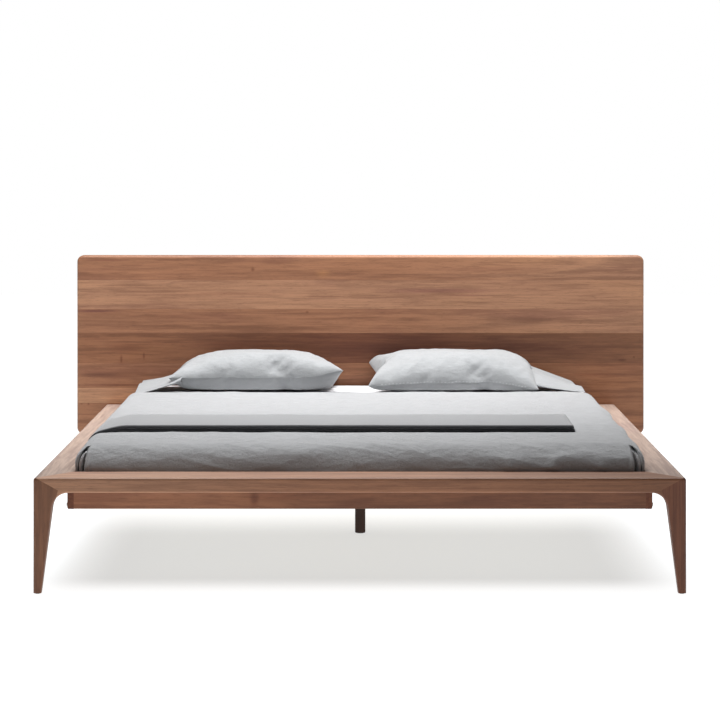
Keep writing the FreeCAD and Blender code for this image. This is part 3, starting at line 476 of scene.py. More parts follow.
def plain_wood(name, tone, order, roughness=0.6):
    """Planed wood with straight grain, for slats, cleats, the beam and hidden joinery."""
    shade = Shade(name)
    at = shade.split(shade.place)
    grain = [at[axis] for axis in order]
    streaks = shade.noise(shade.stretch(grain, (1.3, 60.0, 60.0)), 1.0, 4.0, 0.6)
    fine = shade.noise(shade.stretch(grain, (8.0, 420.0, 420.0)), 1.0, 2.0, 0.6)
    base = linear(*tone)
    dark = tuple(channel * 0.62 for channel in base)
    colour = shade.blend(shade.fit(streaks, 0.4, 0.72, 0, 0.8), base, dark)
    colour = shade.blend(shade.fit(fine, 0.4, 0.8, 0, 0.4), colour, dark)
    normal = shade.bump(fine, 0.25, 0.0005)
    rough = shade.math("MULTIPLY_ADD", streaks, 0.15, roughness - 0.07)
    return shade.finish(Base_Color=colour, Roughness=rough, Normal=normal)


# Metal and felt ----------------------------------------------------------------------------------


def zinc_plate():
    shade = Shade("zinc_plate")
    spangle = shade.noise(shade.place, 180.0, 3.0, 0.6)
    colour = shade.blend(spangle, linear(150, 152, 150), linear(205, 206, 200))
    rough = shade.fit(spangle, 0.3, 0.7, 0.26, 0.46)
    normal = shade.bump(shade.noise(shade.place, 900.0, 2.0), 0.1, 0.0002)
    return shade.finish(Base_Color=colour, Metallic=1.0, Roughness=rough, Normal=normal)


def black_powder_coat():
    shade = Shade("black_powder_coat")
    grain = shade.noise(shade.place, 1400.0, 2.0)
    colour = shade.blend(grain, linear(22, 22, 23), linear(44, 44, 45))
    normal = shade.bump(grain, 0.35, 0.0004)
    return shade.finish(Base_Color=colour, Roughness=0.55, Normal=normal)


def pressed_felt():
    shade = Shade("pressed_felt")
    fuzz = shade.noise(shade.place, 1100.0, 4.0, 0.7)
    colour = shade.blend(fuzz, linear(70, 66, 62), linear(122, 116, 110))
    normal = shade.bump(fuzz, 0.8, 0.001)
    return shade.finish(Base_Color=colour, Roughness=0.95, Sheen_Weight=0.4, Normal=normal)


# Cloth -------------------------------------------------------------------------------------------


def woven(name, colour, thread, nap=0.25, slub=0.5, tint=0.93, border=None, crumple=0.0):
    """Plain-weave cloth: crossed threads of a given pitch, uneven slubs and a soft nap.

    border is an axis index, a place and a colour: beyond that place the cloth has that colour.
    """
    shade = Shade(name)
    at = shade.split(shade.place)
    step = math.tau / thread
    wobble = shade.math("MULTIPLY", shade.noise(shade.place, 40.0, 2.0), 6.0)
    warp = shade.math("SINE", shade.math("MULTIPLY_ADD", at[0], step, wobble))
    weft_place = shade.math("ADD", at[1], at[2])
    weft = shade.math("SINE", shade.math("MULTIPLY_ADD", weft_place, step, wobble))
    weave = shade.math("MULTIPLY", warp, weft)
    long_x = shade.noise(shade.stretch(at, (9.0, 700.0, 700.0)), 1.0, 2.0)
    long_y = shade.noise(shade.stretch(at, (700.0, 9.0, 9.0)), 1.0, 2.0)
    slubs = shade.math("ADD", shade.fit(long_x, 0.55, 0.8), shade.fit(long_y, 0.55, 0.8))
    drift = shade.noise(shade.place, 3.0, 3.0, 0.6)
    base = colour
    if border is not None:
        axis, place, edge_colour = border
        beyond = shade.math("LESS_THAN", at[axis], place)
        base = shade.blend(beyond, tuple(colour), tuple(edge_colour))
    dark = shade.tinted(base, (tint, tint, tint))
    deep = shade.tinted(base, (0.8, 0.8, 0.8))
    mixed = shade.blend(drift, base, dark)
    mixed = shade.blend(shade.math("MULTIPLY", slubs, slub * 0.3), mixed, deep)
    mixed = shade.blend(shade.fit(weave, -1, 1, 0.0, 0.22), mixed, deep)
    relief = shade.math("MULTIPLY_ADD", slubs, slub, weave)
    soft = None
    if crumple:
        rumple_at = shade.vector("MULTIPLY", shade.place, (1.0, 1.35, 1.35))
        rumples = shade.noise(rumple_at, 20.0, 5.0, 0.62)
        soft = shade.bump(rumples, 0.9, crumple)
        # Darker in the hollows of the crumples: painted crease shade.
        mixed = shade.blend(shade.fit(rumples, 0.62, 0.34, 0, 0.35), mixed, deep)
    normal = shade.bump(relief, 0.35, thread * 0.35, soft)
    return shade.finish(Base_Color=mixed, Roughness=0.88, Sheen_Weight=nap, Sheen_Roughness=0.5,
                        Specular_IOR_Level=0.25, Normal=normal)


# Mesh helpers ------------------------------------------------------------------------------------


def new_piece(name, points, faces, material):
    mesh = bpy.data.meshes.new(name)
    mesh.from_pydata([tuple(point) for point in points], [], [tuple(face) for face in faces])
    mesh.validate()
    mesh.update()
    mesh.shade_smooth()
    mesh.materials.append(material)
    piece = bpy.data.objects.new(name, mesh)
    bpy.context.collection.objects.link(piece)
    return piece


def grid_faces(rows, columns, flip=False):
    """Quads of a grid whose points are stored row by row."""
    faces = []
    for row in range(rows - 1):
        for column in range(columns - 1):
            first = row * columns + column
            quad = (first, first + 1, first + columns + 1, first + columns)
            faces.append(quad[::-1] if flip else quad)
    return faces


def ring_faces(rings, columns, capped=True, flip=False):
    """Quads between closed rings of points, with a face over each end if it is capped."""
    faces = []
    for ring in range(rings - 1):
        for column in range(columns):
            first = ring * columns
            after = (column + 1) % columns
            quad = (first + column, first + after, first + columns + after,
                    first + columns + column)
            faces.append(quad[::-1] if flip else quad)
    if capped:
        faces.append(tuple(range(columns))[::-1])
        faces.append(tuple(range((rings - 1) * columns, rings * columns)))
    return faces


def thicken(piece, thickness, offset=-1.0, even=True):
    """Gives a sheet its thickness; an offset of -1 grows it under its face.

    Without even, a sharp fold doesn't grow a spike, but the cloth is thinner round its bends.
    """
    solid = piece.modifiers.new("thickness", "SOLIDIFY")
    solid.thickness = thickness
    solid.offset = offset
    solid.use_even_offset = even


def smooth_over(piece, levels=1):
    rounding = piece.modifiers.new("rounding", "SUBSURF")
    rounding.levels = levels
    rounding.render_levels = levels


def lattice_noise(x, y, seed):
    """Smooth gradient noise between about -1 and 1 over arrays of places, the same every run."""
    x = np.asarray(x, float)
    y = np.asarray(y, float)
    cell_x = np.floor(x).astype(int)
    cell_y = np.floor(y).astype(int)
    part_x = x - cell_x
    part_y = y - cell_y
    ease_x = part_x ** 3 * (part_x * (part_x * 6 - 15) + 10)
    ease_y = part_y ** 3 * (part_y * (part_y * 6 - 15) + 10)

    def corner(shift_x, shift_y):
        mixed = (cell_x + shift_x) * 374761393 + (cell_y + shift_y) * 668265263 + seed * 1442695041
        mixed = (mixed ^ (mixed >> 13)) * 1274126177 & 0x7FFFFFFF
        turn = (mixed ^ (mixed >> 16)) % 3600 * (math.tau / 3600)
        return np.cos(turn) * (part_x - shift_x) + np.sin(turn) * (part_y - shift_y)

    low = corner(0, 0) * (1 - ease_x) + corner(1, 0) * ease_x
    high = corner(0, 1) * (1 - ease_x) + corner(1, 1) * ease_x
    return 1.5 * (low * (1 - ease_y) + high * ease_y)


def creases(x, y, heading, length, width, seed):
    """Soft ridges that run along a heading, up to 1 high and 0 between them."""
    turn = math.radians(heading)
    run = x * math.cos(turn) + y * math.sin(turn)
    side = -x * math.sin(turn) + y * math.cos(turn)
    bend = 0.4 * lattice_noise(run / length, side / length, seed + 50)
    ridge = 1 - np.abs(lattice_noise(run / length, side / width + bend, seed)) * 2.4
    patch = 0.5 + 0.5 * lattice_noise(run / length * 0.7, side / length * 0.9, seed + 9)
    return np.clip(ridge, 0, 1) ** 1.5 * np.clip(patch * 1.4, 0, 1)


def smooth_step(value, low, high):
    part = np.clip((value - low) / (high - low), 0, 1)
    return part * part * (3 - 2 * part)


# Bedding shapes ----------------------------------------------------------------------------------


def rolled_over(x, y, half, front, top, side_roll, foot_roll):
    """Lays flat cloth over the mattress: past its sides and foot the cloth rolls down.

    Returns the points, the outward normals, how far past the edge each point is and its heading
    round the corner, from 0 at the side to 1 at the foot.
    """
    past_x = np.maximum(np.abs(x) - (half - side_roll), 0)
    past_y = np.maximum((front + foot_roll) - y, 0)
    heading = np.arctan2(past_y / foot_roll, past_x / side_roll) / (math.pi / 2)
    heading = np.where(past_x + past_y > 0, heading, 0)
    radius = side_roll + (foot_roll - side_roll) * smooth_step(heading, 0.35, 1.0)
    past = (past_x ** 4 + past_y ** 4) ** 0.25
    angle = np.minimum(past / radius, math.pi / 2)
    drop = np.maximum(past - radius * math.pi / 2, 0)
    fold = smooth_step(past, side_roll * 0.35, side_roll * 1.05) * (past_x > 0) * (past_y > 0)
    out_x, out_y = corner_plan(heading, fold, x > 0)
    points = np.stack([
        np.sign(x) * (np.minimum(np.abs(x), half - side_roll)
                      + out_x * side_roll * np.sin(angle)),
        np.maximum(y, front + foot_roll) - out_y * foot_roll * np.sin(angle),
        top - radius * (1 - np.cos(angle)) - drop,
    ], axis=-1)
    turn = heading * math.pi / 2
    normals = np.stack([np.sign(x) * np.cos(turn) * np.sin(angle), -np.sin(turn) * np.sin(angle),
                        np.cos(angle)], axis=-1)
    return points, normals, past, heading


# The cloth's outline at a foot corner, seen from above, as shares of the corner's radius: from the
# side, round its lip, into the deep fold and out again to the foot. One row of x, one of y.
FOLD_AT = (0.0, 0.22, 0.36, 0.46, 0.53, 0.60, 0.66, 0.72, 0.80, 0.90, 1.0)
LEFT_FOLD = ((1.0, 1.06, 1.06, 0.94, 0.84, 0.70, 0.56, 0.44, 0.24, 0.06, 0.0),
             (0.0, 0.50, 0.84, 0.96, 0.76, 0.02, -0.05, 0.80, 1.02, 1.03, 1.0))
RIGHT_FOLD = ((1.0, 1.07, 1.07, 0.94, 0.82, 0.64, 0.48, 0.36, 0.18, 0.02, 0.0),
              (0.0, 0.50, 0.82, 0.94, 0.72, -0.02, -0.10, 0.78, 1.02, 1.03, 1.0))


def corner_plan(heading, fold, on_right):
    """Where the cloth runs round a corner, in radii from the corner's centre."""
    turn = heading * math.pi / 2
    round_x, round_y = np.cos(turn), np.sin(turn)
    folded_x, folded_y = (
        np.where(on_right, np.interp(heading, FOLD_AT, right), np.interp(heading, FOLD_AT, left))
        for left, right in zip(LEFT_FOLD, RIGHT_FOLD))
    return round_x + (folded_x - round_x) * fold, round_y + (folded_y - round_y) * fold


def settled(x, y):
    """How far the bed's top has sunk towards its foot and its sides."""
    foot = 0.010 * np.clip(1 - (y - OPENING_FRONT) / 0.30, 0, 1) ** 2
    side = 0.006 * np.clip(1 - (OPENING_HALF - np.abs(x)) / 0.12, 0, 1) ** 2
    return foot + side


def sink(points):
    """Lowers the upper part of a bedding layer with the settled top."""
    share = smooth_step(points[..., 2], MATTRESS_LOW.z + 0.02, MATTRESS_HIGH.z - 0.01)
    points[..., 2] -= settled(points[..., 0], points[..., 1]) * share
    return points


def spread(low, high, step):
    return np.linspace(low, high, max(2, int(round((high - low) / step)) + 1))


def spread_with_fine_ends(low, high, step, fine, ends):
    """Places from low to high, closer together within a given distance of the named ends."""
    first = low + ends[0]
    last = high - ends[1]
    parts = [spread(low, first, fine)[:-1]] if ends[0] else []
    parts.append(spread(first, last, step))
    if ends[1]:
        parts.append(spread(last, high, fine)[1:])
    return np.concatenate(parts)


def two_panels(width, depth, rows, columns):
    """Two flat panels sewn together round their edge: points and faces.

    The upper panel's points come first, row by row from the front; the lower one shares its rim.
    """
    xs = np.linspace(-width / 2, width / 2, columns)
    ys = np.linspace(-depth / 2, depth / 2, rows)
    grid_x, grid_y = np.meshgrid(xs, ys)
    bow = (1 - (2 * grid_x / width) ** 2) * (1 - (2 * grid_y / depth) ** 2)
    upper = np.stack([grid_x, grid_y, 0.004 * bow], -1).reshape(-1, 3)
    faces = grid_faces(rows, columns)
    number = {}
    lower = []
    for row in range(rows):
        for column in range(columns):
            index = row * columns + column
            if row in (0, rows - 1) or column in (0, columns - 1):
                number[index] = index
            else:
                number[index] = len(upper) + len(lower)
                lower.append(upper[index] * (1, 1, -1))
    faces = faces + [tuple(number[index] for index in face[::-1]) for face in faces]
    return np.concatenate([upper, lower]), faces


def blown_up(name, points, faces):
    """Blows up a sewn form like a stuffed pillow and returns its points."""
    mesh = bpy.data.meshes.new(name)
    mesh.from_pydata([tuple(point) for point in points], [], faces)
    form = bpy.data.objects.new(name, mesh)
    bpy.context.collection.objects.link(form)
    cloth = form.modifiers.new("cloth", "CLOTH")
    set_cloth(cloth.settings)
    cloth.collision_settings.use_collision = False
    evening = form.modifiers.new("evening", "SMOOTH")
    evening.factor = 0.5
    evening.iterations = 5
    frames = 34
    cloth.point_cache.frame_start = 1
    cloth.point_cache.frame_end = frames
    scene = bpy.context.scene
    for number in range(1, frames + 1):
        scene.frame_set(number)
    graph = bpy.context.evaluated_depsgraph_get()
    shown = form.evaluated_get(graph).to_mesh()
    result = np.empty(len(shown.vertices) * 3)
    shown.vertices.foreach_get("co", result)
    bpy.data.objects.remove(form)
    scene.frame_set(1)
    return result.reshape(-1, 3)


def set_cloth(cloth):
    cloth.quality = 6
    cloth.mass = 0.25
    cloth.tension_stiffness = 25
    cloth.compression_stiffness = 20
    cloth.shear_stiffness = 6
    cloth.bending_stiffness = 0.6
    cloth.air_damping = 2
    cloth.use_pressure = True
    cloth.uniform_pressure_force = 5
    cloth.effector_weights.gravity = 0


def push_in(piece, depth):
    """Moves a closed piece's points inwards along their normals."""
    mesh = piece.data
    for point in mesh.vertices:
        point.co -= point.normal * depth


def join_pieces(name, pieces):
    """Joins several pieces' meshes into one piece."""
    points = []
    faces = []
    for piece in pieces:
        faces += [[index + len(points) for index in face.vertices] for face in piece.data.polygons]
        points += [point.co.copy() for point in piece.data.vertices]
    material = pieces[0].data.materials[0]
    for piece in pieces:
        bpy.data.objects.remove(piece)
    return new_piece(name, points, faces, material)


def tube(name, path, radius, sides, material):
    """A closed round bead along a row of points."""
    path = [Vector(point) for point in path]
    points = []
    for number, centre in enumerate(path):
        after = path[min(number + 1, len(path) - 1)]
        before = path[max(number - 1, 0)]
        along = (after - before).normalized()
        first = along.cross(Vector((0, 0, 1))).normalized()
        second = along.cross(first)
        for side in range(sides):
            turn = math.tau * side / sides
            points.append(centre + (first * math.cos(turn) + second * math.sin(turn)) * radius)
    return new_piece(name, points, ring_faces(len(path), sides), material)


# Operators ---------------------------------------------------------------------------------------


class BED_OT_studio(bpy.types.Operator):
    """Makes the floor, the lamp, the light from all round and the camera"""
    bl_idname = "bed.studio"
    bl_label = "Studio"

    def execute(self, context):
        studio = settings()[2]
        scene = context.scene
        scene.view_settings.view_transform = "Standard"
        self.make_floor(studio)
        self.make_world(scene, studio)
        self.make_lamp(studio)
        self.make_camera(scene, studio)
        return {"FINISHED"}

    def make_floor(self, studio):
        reach = 14.0
        corners = [(-reach, -reach, 0), (reach, -reach, 0), (reach, reach, 0), (-reach, reach, 0)]
        shade = Shade("studio_floor")
        tone = shade.fit(shade.noise(shade.place, 0.8, 2.0), 0.3, 0.7, 0.29, 0.31)
        # Less red and more blue in the floor's colour, set against the warm light that the walnut
        # reflects onto it: a painted counter to that reflection.
        warm = shade.math("MULTIPLY", tone, 0.86)
        cool = shade.math("MULTIPLY", tone, 1.10)
        at = shade.split(shade.place)
        # The floor glows though it is no lamp: painted light. Under the bed it glows less, which
        # paints the bed's shadow, and far away it glows more.
        across = shade.fit(shade.math("ABSOLUTE", at[0]), 0.78, 1.12, 1, 0)
        from_foot = shade.fit(at[1], RAIL_LOW.y, RAIL_LOW.y + 0.30)
        to_head = shade.fit(at[1], 0.0, 0.75, 1, 0)
        under = shade.math("MULTIPLY", across, shade.math("MULTIPLY", from_foot, to_head))
        glow_with_painted_shadow = shade.math("MULTIPLY_ADD", under, studio.floor_glow - OPEN_FLOOR_GLOW,
                            OPEN_FLOOR_GLOW)
        far = shade.fit(shade.vector("LENGTH", shade.place), 1.7, 4.0, 0, 0.15)
        glow = shade.math("ADD", glow_with_painted_shadow, far)
        material = shade.finish(Base_Color=shade.join(warm, tone, cool), Roughness=0.9,
                                Specular_IOR_Level=0.1, Emission_Color=(1, 1, 1),
                                Emission_Strength=glow)
        new_piece("floor", corners, [(0, 1, 2, 3)], material)

    def make_world(self, scene, studio):
        world = bpy.data.worlds.new("studio_air")
        scene.world = world
        world.use_nodes = True
        nodes = world.node_tree.nodes
        links = world.node_tree.links
        fill = nodes["Background"]
        fill.inputs["Color"].default_value = (1, 1, 1, 1)
        fill.inputs["Strength"].default_value = studio.fill_strength
        backdrop = nodes.new("ShaderNodeBackground")
        backdrop.inputs["Color"].default_value = (1, 1, 1, 1)
        seen = nodes.new("ShaderNodeLightPath")
        chosen = nodes.new("ShaderNodeMixShader")
        links.new(seen.outputs["Is Camera Ray"], chosen.inputs[0])
        links.new(fill.outputs[0], chosen.inputs[1])
        links.new(backdrop.outputs[0], chosen.inputs[2])
        links.new(chosen.outputs[0], nodes["World Output"].inputs["Surface"])

    def make_lamp(self, studio):
        data = bpy.data.lights.new("overhead_lamp", "AREA")
        data.shape = "RECTANGLE"
        data.size, data.size_y = LAMP_SIZE
        data.spread = math.radians(LAMP_SPREAD)
        data.energy = studio.lamp_power
        lamp = bpy.data.objects.new("overhead_lamp", data)
        lamp.location = LAMP_PLACE
        aim = Vector(LAMP_AIM) - lamp.location
        lamp.rotation_euler = aim.to_track_quat("-Z", "Y").to_euler()
        bpy.context.collection.objects.link(lamp)

    def make_camera(self, scene, studio):
        data = bpy.data.cameras.new("camera")
        data.lens = LENS
        data.sensor_width = 36
        data.shift_x, data.shift_y = LENS_SHIFT
        camera = bpy.data.objects.new("camera", data)
        camera.location = (CAMERA_X, RAIL_LOW.y - studio.distance, studio.eye_height)
        camera.rotation_euler = (math.pi / 2, 0, 0)
        bpy.context.collection.objects.link(camera)
        scene.camera = camera


class BED_OT_walnut(bpy.types.Operator):
    """Finishes the headboard, the ledge, the aprons and the legs in oiled walnut"""
    bl_idname = "bed.walnut"
    bl_label = "Walnut boards"

    def execute(self, context):
        wood = settings()[0]
        for number, node in enumerate(BOARD_TONES, start=1):
            dress(node, walnut(node, number, wood))
        return {"FINISHED"}


class BED_OT_base(bpy.types.Operator):
    """Finishes the slatted base, the centre leg and the hidden joinery"""
    bl_idname = "bed.base"
    bl_label = "Slatted base"

    def execute(self, context):
        pale = (214, 184, 140)
        crosswise = plain_wood("slat_wood", pale, GRAIN_ALONG_X)
        lengthwise = plain_wood("cleat_wood", (205, 172, 128), GRAIN_ALONG_Y)
        upright = plain_wood("centre_leg_wood", (54, 27, 14), GRAIN_ALONG_Z, 0.5)
        joinery = plain_wood("dowel_wood", (206, 176, 136), GRAIN_ALONG_Z)
        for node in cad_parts:
            if node.startswith("slat_") and node != "slat_screws":
                dress(node, crosswise)
        for node in ("left_cleat", "right_cleat", "centre_beam"):
            dress(node, lengthwise)
        dress("centre_leg", upright)
        for node in ("leg_dowels", "mitre_splines"):
            dress(node, joinery)
        return {"FINISHED"}


class BED_OT_hardware(bpy.types.Operator):
    """Finishes the bolts, screws, inserts, brackets and glides"""
    bl_idname = "bed.hardware"
    bl_label = "Hardware"

    def execute(self, context):
        zinc = zinc_plate()
        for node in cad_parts:
            if node.endswith(("_bolts", "_bolt", "_screws", "_inserts", "_nuts")):
                dress(node, zinc)
        black = black_powder_coat()
        for node in ("front_beam_bracket", "rear_beam_bracket"):
            dress(node, black)
        dress("felt_glides", pressed_felt())
        return {"FINISHED"}


class BED_OT_mattress(bpy.types.Operator):
    """Makes the mattress with its piped edges"""
    bl_idname = "bed.mattress"
    bl_label = "Mattress"

    def execute(self, context):
        piece = self.make_block()
        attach(piece, "mattress")
        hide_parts("mattress")
        return {"FINISHED"}

    def make_block(self):
        low, high = MATTRESS_LOW, MATTRESS_HIGH
        corner = 0.075
        per_corner = 14
        # Inset from the sides and height over the underside, from the underside up over the top.
        profile = ((0.5, 0), (0.06, 0), (0.016, 0.0015), (0.007, 0.004), (0.0025, 0.008),
                   (0.0025, 0.012), (0.007, 0.0155), (0.0035, 0.022), (0.001, 0.040),
                   (0.0, 0.060), (0.001, 0.080), (0.0035, 0.100), (0.008, 0.107),
                   (0.0035, 0.1105), (0.0035, 0.1145), (0.008, 0.118), (0.013, 0.126),
                   (0.022, 0.136), (0.036, 0.1445), (0.055, 0.1495), (0.085, 0.1515),
                   (0.15, 0.1517), (0.26, 0.1517), (0.5, 0.1517))
        points = []
        for inset, height in profile:
            half_x = (high.x - low.x) / 2 - 0.005 - inset
            half_y = (high.y - low.y) / 2 - 0.005 - inset
            radius = max(corner - inset, 0.01)
            for quarter in range(4):
                centre_x = (half_x - radius) * (1, -1, -1, 1)[quarter]
                centre_y = (half_y - radius) * (1, 1, -1, -1)[quarter]
                for step in range(per_corner):
                    turn = (quarter + step / (per_corner - 1)) * math.pi / 2
                    y = centre_y + radius * math.sin(turn) + (low.y + high.y) / 2
                    points.append((centre_x + radius * math.cos(turn), y,
                                   low.z + height - self.foot_round(y - low.y) * (height > 0.03)))
        faces = ring_faces(len(profile), 4 * per_corner)
        material = woven("ticking", linear(226, 224, 216), 0.0024, 0.1, 0.2)
        return new_piece("mattress_block", sink(np.array(points)), faces, material)

    def foot_round(self, from_foot):
        """How much lower the block is near its foot, where the coverlet rolls over it."""
        roll = settings()[1].foot_roll
        short = max(0.0, 1 - from_foot / roll)
        return roll * (1 - math.sqrt(1 - min(short, 0.86) ** 2)) * 1.02


class BED_OT_fitted_sheet(bpy.types.Operator):
    """Makes the white fitted sheet over the mattress"""
    bl_idname = "bed.fitted_sheet"
    bl_label = "Fitted sheet"

    def execute(self, context):
        bedding = settings()[1]
        half = SHEET_HIGH.x - SHEET_INSET
        front = SHEET_LOW.y + SHEET_INSET
        side_roll, foot_roll = bedding.side_roll, bedding.foot_roll
        side_end = half - side_roll + SHEET_TUCK
        foot_end = front + foot_roll - SHEET_TUCK
        xs = spread_with_fine_ends(-side_end, side_end, 0.02, 0.008, (0.2, 0.2))
        ys = spread_with_fine_ends(foot_end, SHEET_HIGH.y, 0.016, 0.008, (0.2, 0))
        grid_x, grid_y = np.meshgrid(xs, ys)
        points, normals, _, _ = rolled_over(grid_x, grid_y, half, front, SHEET_HIGH.z - 0.0012,
                                            side_roll, foot_roll)
        ripple = 0.0010 * creases(grid_x, grid_y, 4, 0.5, 0.06, 12)
        ripple += 0.0008 * creases(grid_x, grid_y, 80, 0.3, 0.05, 14)
        points = sink(points + normals * ripple[..., None])
        material = woven("white_percale", bedding.sheet_colour, 0.0007, 0.15, 0.15, 0.97)
        piece = new_piece("bed_sheet", points.reshape(-1, 3), grid_faces(*grid_x.shape), material)
        thicken(piece, 0.0008)
        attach(piece, "mattress")
        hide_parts("fitted_sheet")
        return {"FINISHED"}


class BED_OT_coverlet(bpy.types.Operator):
    """Makes the coverlet: over the top, down both sides and the foot, and tucked in"""
    bl_idname = "bed.coverlet"
    bl_label = "Coverlet"

    def execute(self, context):
        bedding = settings()[1]
        half, front, head = COVER_HALF, COVER_FRONT, COVER_HIGH.y
        side_roll, foot_roll = bedding.side_roll, bedding.foot_roll
        rolls = math.pi / 2 - 2
        side_end = half + side_roll * rolls + COVER_HIGH.z - COVER_HEM
        foot_end = front - foot_roll * rolls - COVER_HIGH.z + COVER_HEM
        xs = spread_with_fine_ends(-side_end, side_end, 0.0095, 0.0042, (0.2, 0.2))
        ys = spread_with_fine_ends(foot_end, head, 0.0095, 0.0042, (0.2, 0))
        grid_x, grid_y = np.meshgrid(xs, ys)
        points, normals, past, heading = rolled_over(grid_x, grid_y, half, front, COVER_HIGH.z,
                                                     side_roll, foot_roll)
        relief = self.relief(grid_x, grid_y, past, heading, bedding)
        points = sink(points + normals * relief[..., None])
        points = self.keep_in_frame(points)
        material = woven("washed_linen", bedding.coverlet_colour, 0.0011, 0.25, 0.7, crumple=0.008)
        piece = new_piece("bed_coverlet", points.reshape(-1, 3), grid_faces(*grid_x.shape),
                          material)
        thicken(piece, bedding.cloth_thickness, even=False)
        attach(piece, "mattress")
        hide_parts("coverlet")
        return {"FINISHED"}

    def keep_in_frame(self, points):
        """Holds the skirts in the opening, below the level of the ledge."""
        below = 1 - smooth_step(points[..., 2], LEDGE_TOP - 0.004, LEDGE_TOP + 0.016)
        side = OPENING_HALF - SKIRT_GAP
        held_x = np.clip(points[..., 0], -side, side)
        held_y = np.maximum(points[..., 1], OPENING_FRONT + SKIRT_GAP)
        points[..., 0] += (held_x - points[..., 0]) * below
        points[..., 1] += (held_y - points[..., 1]) * below
        return points

    def relief(self, x, y, past, heading, bedding):
        """Height of the cloth over its smooth shape: creases, side bulges and slanting folds."""
        radius = np.where(heading > 0.5, bedding.foot_roll, bedding.side_roll)
        depth = bedding.crease_depth
        top = 0.0016 * (lattice_noise(x * 2.1, y * 2.6, 21) + 0.6)
        top += depth * creases(x, y, 8, 0.60, 0.080, 31)
        top += depth * 0.8 * creases(x, y, -20, 0.42, 0.065, 37)
        top += depth * 0.4 * creases(x, y, 60, 0.30, 0.05, 43)
        flat = smooth_step(np.abs(y - THROW_MIDDLE), 0.16, 0.20)
        top *= 0.15 + 0.85 * np.maximum(flat, x > THROW_HIGH.x + 0.01)
        skirt = smooth_step(past, radius * 0.4, radius * 1.3)
        on_side = skirt * smooth_step(-heading, -0.35, -0.1)
        on_foot = skirt * smooth_step(heading, 0.65, 0.9)
        side = 0.006 * lattice_noise(y * 3.4, np.sign(x) * 3 + 0.2, 61) + 0.002
        for place, width, height in SIDE_BULGES:
            side = side + (x > 0) * height * np.exp(-((y - place) / width) ** 2)
        slant = 0.017 * creases(x, past, 33, 0.30, 0.10, 71) * smooth_step(x, 0.25, 0.60)
        slant += 0.003 * creases(x, past, 14, 0.30, 0.06, 77)
        slant += 0.007 * lattice_noise(x * 3.1, past * 9, 81) - 0.002
        return top * (1 - 0.6 * skirt) + side * on_side + slant * on_foot


class BED_OT_throw(bpy.types.Operator):
    """Makes the folded throw, one long sheet laid to and fro with its left end over the side"""
    bl_idname = "bed.throw"
    bl_label = "Throw"

    def execute(self, context):
        bedding = settings()[1]
        layers = bedding.throw_layers
        pitch = (THROW_HIGH.z - COVER_HIGH.z - 0.001) / layers
        path, reach = self.fold_path(layers, pitch)
        left = -(COVER_HALF + 0.012)
        share = spread(0, 1, 0.0072)
        columns = len(share)
        rows = len(path)
        flat_x = np.empty((rows, columns))
        flat_y = np.empty((rows, columns))
        lift = np.empty((rows, columns))
        for row, (layer, part, height) in enumerate(path):
            right = np.interp(layer, range(layers), self.right_ends(layers))
            x = left + (right - left) * share
            front_fold = 0.0035 * lattice_noise(x * 2.2, 0.3 + math.ceil(layer / 2), 91)
            back_fold = 0.0035 * lattice_noise(x * 2.0, 0.7 + math.floor(layer / 2), 92)
            front = THROW_LOW.y + 0.004 + front_fold
            back = THROW_HIGH.y - 0.004 + back_fold
            flat_x[row] = x
            flat_y[row] = front + (back - front) * part
            ripple = 0.0014 * creases(x, flat_y[row], 6, 0.30, 0.05, 93 + int(layer))
            lift[row] = height + ripple * (layer > layers - 1.3)
        points, normals, _, _ = rolled_over(flat_x, flat_y, COVER_HALF, COVER_FRONT,
                                            COVER_HIGH.z + 0.001, bedding.side_roll,
                                            bedding.foot_roll)
        squeezed = 1 - 0.9 * smooth_step(-flat_x, COVER_HALF - 0.13, COVER_HALF - 0.01)
        points = sink(points + normals * (lift * squeezed)[..., None])
        material = woven("wool_throw", bedding.throw_colour, 0.0026, 0.5, 0.9, 0.9,
                         border=(1, THROW_LOW.y + 0.013, bedding.border_colour))
        piece = new_piece("bed_throw", points.reshape(-1, 3), grid_faces(rows, columns), material)
        thicken(piece, pitch * 0.9, 0, even=False)
        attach(piece, "throw")
        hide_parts("throw")
        return {"FINISHED"}

    def right_ends(self, layers):
        """Each layer ends a little short of the one under it."""
        return [THROW_HIGH.x - 0.003 - 0.002 * layer for layer in range(layers)]

    def fold_path(self, layers, pitch):
        """The cloth's section from its bottom layer up: layer, share of the depth and height."""
        path = []
        depth = THROW_HIGH.y - THROW_LOW.y
        for layer in range(layers):
            parts = spread(0, 1, 0.045)
            parts = parts if layer % 2 else parts[::-1]
            height = pitch * (layer + 0.5)
            path += [(layer, part, height) for part in parts]
            if layer < layers - 1:
                side = 1 if layer % 2 else -1
                for turn in (-60, -30, 0, 30, 60):
                    bend = math.radians(turn)
                    part = (0.5 + side * 0.5) + side * pitch / 2 * math.cos(bend) / depth
                    path.append((layer + 0.5 + turn / 180, part,
                                 height + pitch / 2 * (1 + math.sin(bend))))
        return path, layers * depth + (layers - 1) * pitch * math.pi / 2


